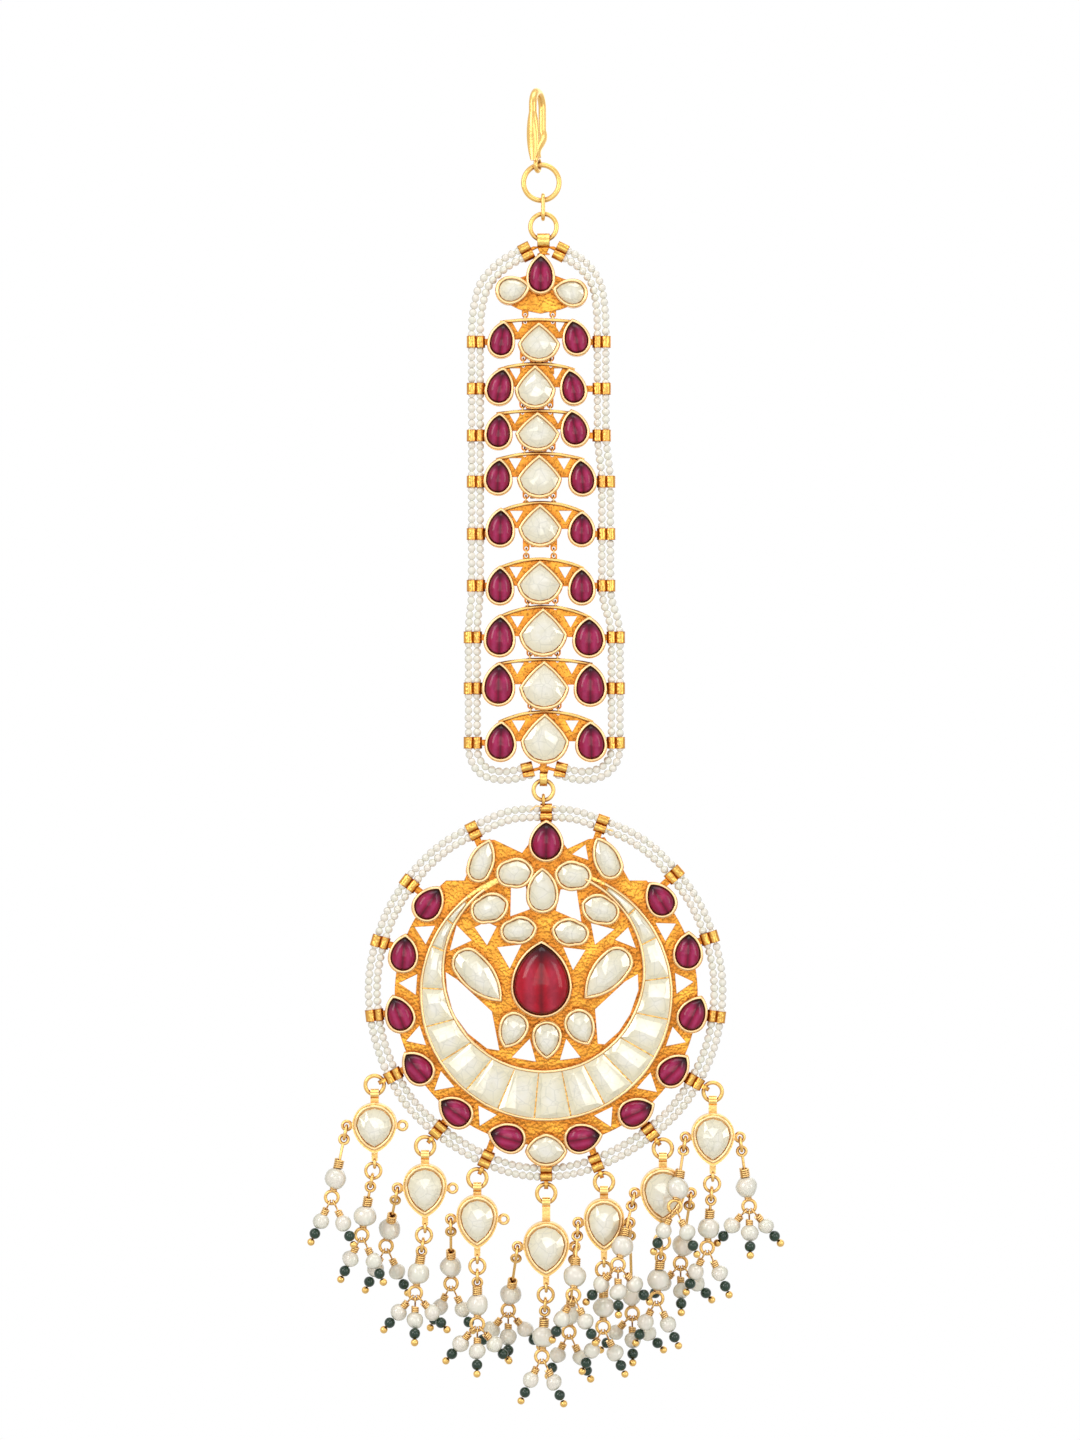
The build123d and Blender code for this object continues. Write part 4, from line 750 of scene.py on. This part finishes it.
def polki_material():
    """Uncut pale stone over silver foil: clear patches, random grey-green streaks and fine flaws, with a
    painted glow in the middle and painted shade where the facets turn away.
    """
    material, tree, surface = new_material("polki_stone")
    cloud = texture(tree, "Noise", {"Scale": 300.0, "Detail": 3.0, "Roughness": 0.6, "Distortion": 1.2})
    flaw = texture(tree, "Voronoi", {"Scale": 620.0, "Randomness": 1.0}, feature="DISTANCE_TO_EDGE")
    crease = texture(tree, "Noise", {"Scale": 1100.0, "Detail": 5.0, "Roughness": 0.7})
    across, along = over_stone(tree)
    reach = add(tree, "ShaderNodeCombineXYZ", {"X": across, "Y": along})
    # Painted light: paler in the middle and yellower towards the edge, and painted shade where the facets
    # turn away.
    colour = layered(tree, (1.0, 0.97, 0.86),
                     (length_of(tree, reach), (0.3, 0.95), (0.94, 0.86, 0.60)),
                     (cloud, (0.42, 0.66, 0.0, 0.6), (0.90, 0.86, 0.66)),
                     (crease, (0.56, 0.74, 0.0, 0.5), (0.56, 0.54, 0.44)),
                     (flaw, (0.0, 0.05, 0.3, 0.0), (0.5, 0.5, 0.42)),
                     (facing(tree, 0.5), (0.12, 0.5, 0.0, 0.7), (0.66, 0.62, 0.40)))
    bump = add(tree, "ShaderNodeBump", {"Strength": 0.3, "Distance": 0.00006, "Height": cloud})
    feed(tree, surface, {"Base Color": colour, "Roughness": ramp(tree, crease, 0.4, 0.7, 0.05, 0.22),
                         "Normal": bump, "Metallic": 0.08, "Coat Weight": 1.0, "Coat Roughness": 0.04})
    return material


def pearl_material(name, body_colour, shade_colour):
    """Nacre: cream with faint patches of pink and green, and painted shade where it turns away."""
    material, tree, surface = new_material(name)
    cloud = texture(tree, "Noise", {"Scale": 480.0, "Detail": 2.0})
    grain = texture(tree, "Noise", {"Scale": 2400.0, "Detail": 3.0})
    tint = mix(tree, ramp(tree, cloud, 0.4, 0.62), (1.0, 0.90, 0.84), (0.88, 0.92, 0.80))
    colour = layered(tree, mix(tree, 0.35, body_colour, tint),
                     (facing(tree, 0.5), (0.3, 0.9, 0.0, 0.85), shade_colour))
    feed(tree, surface, {"Base Color": colour, "Roughness": ramp(tree, grain, 0.3, 0.7, 0.12, 0.20),
                         "Specular IOR Level": 0.6, "Coat Weight": 0.8, "Coat Roughness": 0.07})
    return material


def bead_material():
    """Dark bottle-green glass."""
    material, tree, surface = new_material("green_glass")
    swirl = texture(tree, "Noise", {"Scale": 700.0, "Detail": 3.0, "Distortion": 1.0})
    feed(tree, surface, {"Base Color": mix(tree, swirl, (0.002, 0.016, 0.009), (0.01, 0.06, 0.026)),
                         "Roughness": ramp(tree, swirl, 0.3, 0.7, 0.06, 0.16),
                         "Specular IOR Level": 0.35, "Coat Weight": 0.4})
    return material


EDGE_AND_NOOK_LIGHT = edge_and_nook_light_group()
HAND_WORK = hand_work_group()
GOLD = gold_material("gold_wire", (0.92, 0.62, 0.22), (0.74, 0.43, 0.11), (0.36, 0.14, 0.03))
# Painted shade: the plates take a dark edge colour, so their edges and hole walls look shaded.
GOLD_PLATE = gold_material("gold_plate", (0.92, 0.62, 0.18), (0.84, 0.42, 0.055), (0.38, 0.11, 0.012),
                           painted_edge_colour=(0.34, 0.10, 0.012), edge_width=0.00032, roughness=0.2,
                           depth=0.00013, by_height=True)
# The bezel lips take a lighter, pinker copy of the gold: painted highlight on the raised lips.
GOLD_RIM = gold_material("gold_bezel", (0.92, 0.66, 0.36), (0.84, 0.54, 0.24), (0.44, 0.17, 0.04),
                         roughness=0.16, depth=0.000012)
GOLD_CUP = gold_material("gold_cup", (0.92, 0.66, 0.27), (0.80, 0.46, 0.11), (0.46, 0.20, 0.04))
RUBY = ruby_material("ruby", (0.40, 0.0005, 0.062), (0.02, 0.0002, 0.008), (0.58, 0.05, 0.19))
CENTRE = ruby_material("centre_ruby", (0.56, 0.001, 0.022), (0.03, 0.0002, 0.005), (0.58, 0.05, 0.10))
POLKI = polki_material()
PEARL = pearl_material("pearl", (1.0, 0.96, 0.82), (0.46, 0.42, 0.24))
SEED = pearl_material("seed_pearl", (1.0, 0.96, 0.84), (0.56, 0.50, 0.36))
GREEN = bead_material()

STRUNG = strung_tree()
HAND_WIRE = wire_tree()
PLACED = pearl_tree()
noise.seed_set(11)


def stand_for(piece, body, slot, *nodes):
    """The piece rides on a body and replaces the CAD nodes, if any. Slot is not used."""
    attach(piece, body)
    if nodes:
        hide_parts(*nodes)


# ---------------------------------------------------------------- stones
def set_stones(name, shape, material, body, slot, *nodes):
    """Shows a shape full of stones. Rubies are smooth, and the pale stones keep their flat facets."""
    piece = show(name, shape.mesh(name), material, smooth=slot == "ruby")
    stand_for(piece, body, slot, *nodes)


head_and_bars = [HEAD_RUBY] + [stone for bar in BARS for stone in (bar.left, bar.right)]
strap_pale = [bar.centre for bar in BARS] + list(HEAD_STONES)
rim_rubies = [Stone(*polar(RIM_RUBIES_AT, at), *RIM_RUBY, tip - 90) for at, tip in RIM_RUBIES]
medal_pale = [*LATTICE, DOME]

shape = Shape()
for stone in head_and_bars:
    cabochon(shape, stone, SMALL_DOME)
set_stones("strap_rubies", shape, RUBY, "strap", "ruby",
           "strap_head_ruby", "strap_rubies_left", "strap_rubies_right")

shape = Shape()
for stone in strap_pale:
    flat_cut(shape, stone, TABLE_RISE)
set_stones("strap_pale_stones", shape, POLKI, "strap", "polki", "strap_centre_stones", "strap_head_stones")

shape = Shape()
for stone in rim_rubies:
    cabochon(shape, stone, SMALL_DOME)
cabochon(shape, CROWN_RUBY, CROWN_DOME)
set_stones("pendant_rubies", shape, RUBY, "pendant", "ruby",
           "crown_ruby", "rim_rubies_left", "rim_rubies_right")

shape = Shape()
cabochon(shape, CENTRE_RUBY, LARGE_DOME, steps=14)
set_stones("large_ruby", shape, CENTRE, "pendant", "ruby", "centre_ruby")

shape = Shape()
for stone in medal_pale:
    flat_cut(shape, stone, TABLE_RISE)
for start, stop in zip(CRESCENT_WALLS, CRESCENT_WALLS[1:]):
    crescent_cut(shape, start, stop)
set_stones("pendant_pale_stones", shape, POLKI, "pendant", "polki",
           "lattice_stones", "rim_dome_stone", "crescent_stones")


# ---------------------------------------------------------------- bezel lips and wires
def wire(name, body, host, radius, wander, metal=GOLD):
    """A piece of hand-worked gold wire along the paths of the host mesh. Wander is how far it strays."""
    piece = grow(name, HAND_WIRE, host, radius=radius * MM, wander=wander * MM, material=metal)
    stand_for(piece, body, "gold")


def arc_path(centre, radius, start, stop, steps=60):
    """An arc about a centre, between two directions in degrees."""
    return [polar(radius, start + (stop - start) * step / steps, centre) for step in range(steps + 1)]


for name, body, stones in (
        ("strap_bezel_lips", "strap", head_and_bars + strap_pale),
        ("pendant_bezel_lips", "pendant", rim_rubies + [CROWN_RUBY, CENTRE_RUBY, *medal_pale])):
    lips = [grown(stone, STONE_GAP + LIP_INSET) for stone in stones]
    wire(name, body, paths("lips", lips, BEZEL_TOP - 0.06, closed=True), LIP, 0.05, GOLD_RIM)

edges = [arc_path(MEDAL, CRESCENT_OUTER - CRESCENT_WALL / 2, *OUTER_ENDS),
         arc_path(CRESCENT_INNER_CENTRE, CRESCENT_INNER + CRESCENT_WALL / 2, *INNER_ENDS)]
wire("crescent_edges", "pendant", paths("edges", edges, BEZEL_TOP - 0.05), LIP, 0.1, GOLD_RIM)

arches = []
for bar in BARS:
    shoulder = min(stone.z + stone.length / 2 for stone in (bar.left, bar.right)) + ARCH_OVERHANG
    left, right = (bar.left.x - ARCH_OVERHANG, shoulder), (bar.right.x + ARCH_OVERHANG, shoulder)
    rise = bar.centre.z + bar.centre.length / 2 + ARCH_OVER_STONE - shoulder
    arches.append([left, *reversed(arc_points(right, left, max(rise, ARCH_RISE), 21)), right])
wire("bar_arches", "strap", paths("arches", arches, ARCH_HEIGHT), ARCH_WIRE, 0.1)


# ---------------------------------------------------------------- strands of seed pearls
def string_pearls(body, node, route, shifts, seed):
    """Seed pearls along a route moved sideways by each shift. They replace the strand's CAD node."""
    name = node.replace("_pearls_", "_seed_pearls_")
    strands = [rounded(beside(route, shift)) for shift in shifts]
    piece = grow(name, STRUNG, paths("strands", strands), diameter=SEED_PEARL * MM, pitch=SEED_PITCH * MM,
                 unevenness=0.05, seed=seed, material=SEED)
    stand_for(piece, body, "pearl", node)


inner_side, outer_side = STRAND_PITCH / 2, -STRAND_PITCH / 2
string_pearls("strap", "strap_pearls_left", LEFT_ROUTE, (outer_side, inner_side), 3)
string_pearls("strap", "strap_pearls_right", RIGHT_ROUTE, (outer_side, inner_side), 5)
string_pearls("pendant", "medallion_pearls_outer", loop_route(), [outer_side], 8)
string_pearls("pendant", "medallion_pearls_inner", loop_route(), [inner_side], 9)

# ---------------------------------------------------------------- pear drops
faces = [Stone(cup.x, cup.z + FACE_UP, cup.width - 2 * CUP_WALL, cup.length - 2 * CUP_WALL - FACE_SHORT, 180)
         for cup in DROPS]
lips = [grown(face, DROP_LIP_AT) for face in faces]
wire("drop_lips", "pendant", paths("lips", lips, CUP_HALF - 0.02, closed=True), LIP, 0.1, GOLD_RIM)

shape = Shape()
for face in faces:
    flat_cut(shape, face, 0.45, base=CUP_HALF - 0.47, top=CUP_HALF + 0.05)
set_stones("drop_faces", shape, POLKI, "pendant", "polki", "drop_stones")


# ---------------------------------------------------------------- fringe
def cup_eye(cup, eye):
    """Where the middle of an eye of a cup lies: at its foot, its left or its right."""
    if eye == "foot":
        return cup.x, cup.z - cup.length / 2 - FOOT_EYE_AT
    side = cup.width / 2 + SIDE_EYE_AT
    return cup.x + (side if eye == "right" else -side), cup.z + SIDE_EYE_UP


def coil(start, way, size):
    """A close coil round a wire, from start along its way. Its size is radius, length and turns."""
    radius, length, turns = size
    side = way.cross(ASKEW).normalized()
    other = way.cross(side)
    steps = int(turns * 12)
    points = []
    for step in range(steps + 1):
        share = step / steps
        angle = 2 * pi * turns * share
        spoke = side * cos(angle) + other * sin(angle)
        points.append(tuple(start + way * (length * share) + spoke * radius))
    return points


def pin_wire(root, heading, turn, bead):
    """The wire of a pin: its eye round the large pearl's eye, then straight on to the small pearl."""
    tangent = Vector((cos(radians(turn)), 0, sin(radians(turn))))
    across = heading.cross(tangent)
    eye = root + heading * (PIN_EYE - (LOW_EYE_WIRE + PIN_WIRE) / 2 - LINK_PLAY)
    angles = [2 * pi * step / 18 for step in range(19)]
    circle = [eye + PIN_EYE * (heading * cos(angle) + across * sin(angle)) for angle in angles]
    return [tuple(point) for point in circle] + [tuple(bead)]


large, small, green, balls = [], [], [], []
pin_wires, windings = [], []
for row in FRINGE:
    eye_x, eye_z = cup_eye(DROPS[row.drop - 1], row.eye)
    flat = Vector((row.x - eye_x, 0, row.z - eye_z)).normalized()
    start = Vector((eye_x, 0, eye_z)) + flat * EYE
    pearl = Vector((row.x, row.y, row.z))
    way = (pearl - start).normalized()
    large.append((pearl, LARGE_PEARL * 0.99))
    low_eye = pearl + way * (LARGE_PEARL / 2 + LOW_EYE_DROP) + flat * LOW_EYE
    from_middle = way * (LARGE_PEARL / 2 - 0.12)
    windings.append(coil(pearl - from_middle, -way, TOP_COIL))
    windings.append(coil(pearl + from_middle, way, FOOT_COIL))
    for index, (turn, lean) in enumerate(PIN_SPREAD[row.pins]):
        outward = Vector((sin(radians(turn)), 0, -cos(radians(turn))))
        heading = outward * cos(radians(lean)) + Vector((0, -1, 0)) * sin(radians(lean))
        root = low_eye + outward * LOW_EYE
        bead = root + heading * (PIN_DROP + 0.3 * (index % 2))
        dark = bead + heading * (SMALL_PEARL + GREEN_BEAD + BEAD_PLAY) / 2
        ball = dark + heading * (GREEN_BEAD + GOLD_BALL + BEAD_PLAY) / 2
        small.append((bead, SMALL_PEARL))
        green.append((dark, GREEN_BEAD))
        balls.append((ball, GOLD_BALL))
        windings.append(coil(bead - heading * (SMALL_PEARL / 2 - 0.10), -heading, PIN_COIL))
        pin_wires.append(pin_wire(root, heading, turn, bead))

for name, places, uneven, material, slot, nodes in (
        ("fringe_large_pearls", large, 0.6, PEARL, "pearl", ("fringe_pearls",)),
        ("fringe_small_pearls", small, 0.6, PEARL, "pearl",
         ("fringe_pins_left", "fringe_pins_middle", "fringe_pins_right")),
        ("fringe_green_beads", green, 0.1, GREEN, None, ()),
        ("fringe_gold_balls", balls, 0.1, GOLD, "gold", ())):
    piece = grow(name, PLACED, spots(name, places), unevenness=uneven * MM, detail=3, seed=4,
                 material=material)
    stand_for(piece, "pendant", slot, *nodes)
wire("fringe_pin_wires", "pendant", paths("pins", pin_wires), PIN_WIRE / 2, 0.02)
wire("fringe_windings", "pendant", paths("windings", windings), WINDING_WIRE, 0.04)

# The thin wires that the seed pearls are strung on stick out at the ends of some tubes.
ends = [((0.3, -1.5, -103.1), (-0.6, -1.6, -103.1), (-1.4, -1.5, -103.7)),
        ((1.6, -1.4, -103.2), (2.3, -1.5, -103.3)),
        ((9.7, -1.5, -106.4), (10.6, -1.6, -106.7))]
wire("strand_wire_ends", "pendant", paths("ends", ends), STRAND_WIRE, 0.02)

# ---------------------------------------------------------------- the CAD pieces that show
PLATES = ("medallion_frame", "strap_head", *[f"strap_bar_{number}" for number in range(1, 10)])
for name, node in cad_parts.items():
    if name in PLATES:
        metal = GOLD_PLATE
    elif name.startswith("drop_cup"):
        metal = GOLD_CUP
    else:
        metal = GOLD
    for slot in node.material_slots:
        slot.material = metal


# ---------------------------------------------------------------- floor
FLOOR_Z = -0.27
FLOOR_RADIUS = 1.2
WHITE_FROM, WHITE_TO = 0.16, 0.42       # the floor turns white between these distances from the origin


def floor_disc(rings=24, sides=64):
    """A round floor of rings of faces about a middle point."""
    points = [(0, 0, FLOOR_Z)]
    for ring in range(1, rings + 1):
        for side in range(sides):
            points.append((*polar(FLOOR_RADIUS * ring / rings, 360 * side / sides, (0, 0)), FLOOR_Z))
    faces = [(0, 1 + side, 1 + (side + 1) % sides) for side in range(sides)]
    for ring in range(rings - 1):
        inner, outer = 1 + ring * sides, 1 + (ring + 1) * sides
        for side in range(sides):
            after = (side + 1) % sides
            faces.append((inner + side, outer + side, outer + after, inner + after))
    return plain_mesh("floor", points, faces=faces)


def seen_rays(tree):
    """1 for what the camera, polished metal and glass see, 0 for what only lights the object."""
    path = add(tree, "ShaderNodeLightPath")
    seen = path.outputs["Is Camera Ray"]
    for kind in ("Is Glossy Ray", "Is Transmission Ray"):
        seen = maths(tree, "MAXIMUM", seen, path.outputs[kind])
    return seen


def blend_shaders(tree, factor, first, second, end):
    """Mixes two shaders by a factor and sends the result to the end node's surface."""
    blend = add(tree, "ShaderNodeMixShader", {0: factor, 1: first, 2: second})
    feed(tree, tree.nodes[end], {"Surface": blend})


def floor_material():
    """Pale grey, with a fine grain, that fades to the white of the backdrop away from the object."""
    material, tree, surface = new_material("pale_floor")
    grain = texture(tree, "Noise", {"Scale": 60.0, "Detail": 4.0})
    body = mix(tree, grain, (0.86, 0.86, 0.86), (0.9, 0.9, 0.9))
    feed(tree, surface, {"Base Color": body, "Roughness": 0.8})
    far = ramp(tree, length_of(tree, object_place(tree)), WHITE_FROM, WHITE_TO)
    white = add(tree, "ShaderNodeEmission", {"Color": (1, 1, 1, 1), "Strength": 1.0})
    blend_shaders(tree, maths(tree, "MULTIPLY", far, seen_rays(tree)), surface, white, "Material Output")
    return material


floor = show("floor", floor_disc(), floor_material())


# ---------------------------------------------------------------- light and camera
TARGET = Vector((0, 0, -0.0906))
CAMERA_DISTANCE = 0.581


def white_backdrop():
    """A world that is white to the eye and a soft warm grey as a light."""
    world = bpy.data.worlds.new("studio")
    world.use_nodes = True
    tree = world.node_tree
    light = tree.nodes["Background"]
    feed(tree, light, {"Color": (1.0, 0.98, 0.95, 1), "Strength": 0.26})
    white = add(tree, "ShaderNodeBackground", {"Color": (1, 1, 1, 1), "Strength": 1.0})
    blend_shaders(tree, seen_rays(tree), light, white, "World Output")
    return world


def softbox(name, place, size, power, colour=(1, 1, 1)):
    """A rectangular lamp at a place, turned to the middle of the object."""
    data = bpy.data.lights.new(name, "AREA")
    data.shape = "RECTANGLE"
    data.size, data.size_y = size
    data.energy = power
    data.color = colour
    lamp = put(name, data)
    lamp.location = place
    lamp.rotation_euler = (TARGET - Vector(place)).to_track_quat("-Z", "Y").to_euler()


def front_camera():
    """A long lens straight in front of the object."""
    data = bpy.data.cameras.new("camera")
    data.lens = 100
    data.sensor_width = 36
    data.clip_start = 0.01
    camera = put("camera", data)
    camera.location = TARGET - Vector((0, CAMERA_DISTANCE, 0))
    camera.rotation_euler = (pi / 2, 0, 0)
    return camera


bpy.context.scene.world = white_backdrop()
softbox("key", (-0.42, -0.42, 0.15), (0.20, 0.40), 1.2, (1.0, 0.98, 0.95))
softbox("fill", (0.45, -0.38, 0.0), (0.18, 0.40), 0.7)
softbox("front", (0.0, -0.80, -0.05), (0.34, 0.34), 0.65)
softbox("top", (0.05, -0.15, 0.45), (0.5, 0.3), 1.1)
softbox("back", (0.2, 0.5, 0.2), (0.5, 0.5), 0.8)
bpy.context.scene.camera = front_camera()
bpy.context.scene.view_settings.view_transform = "Standard"
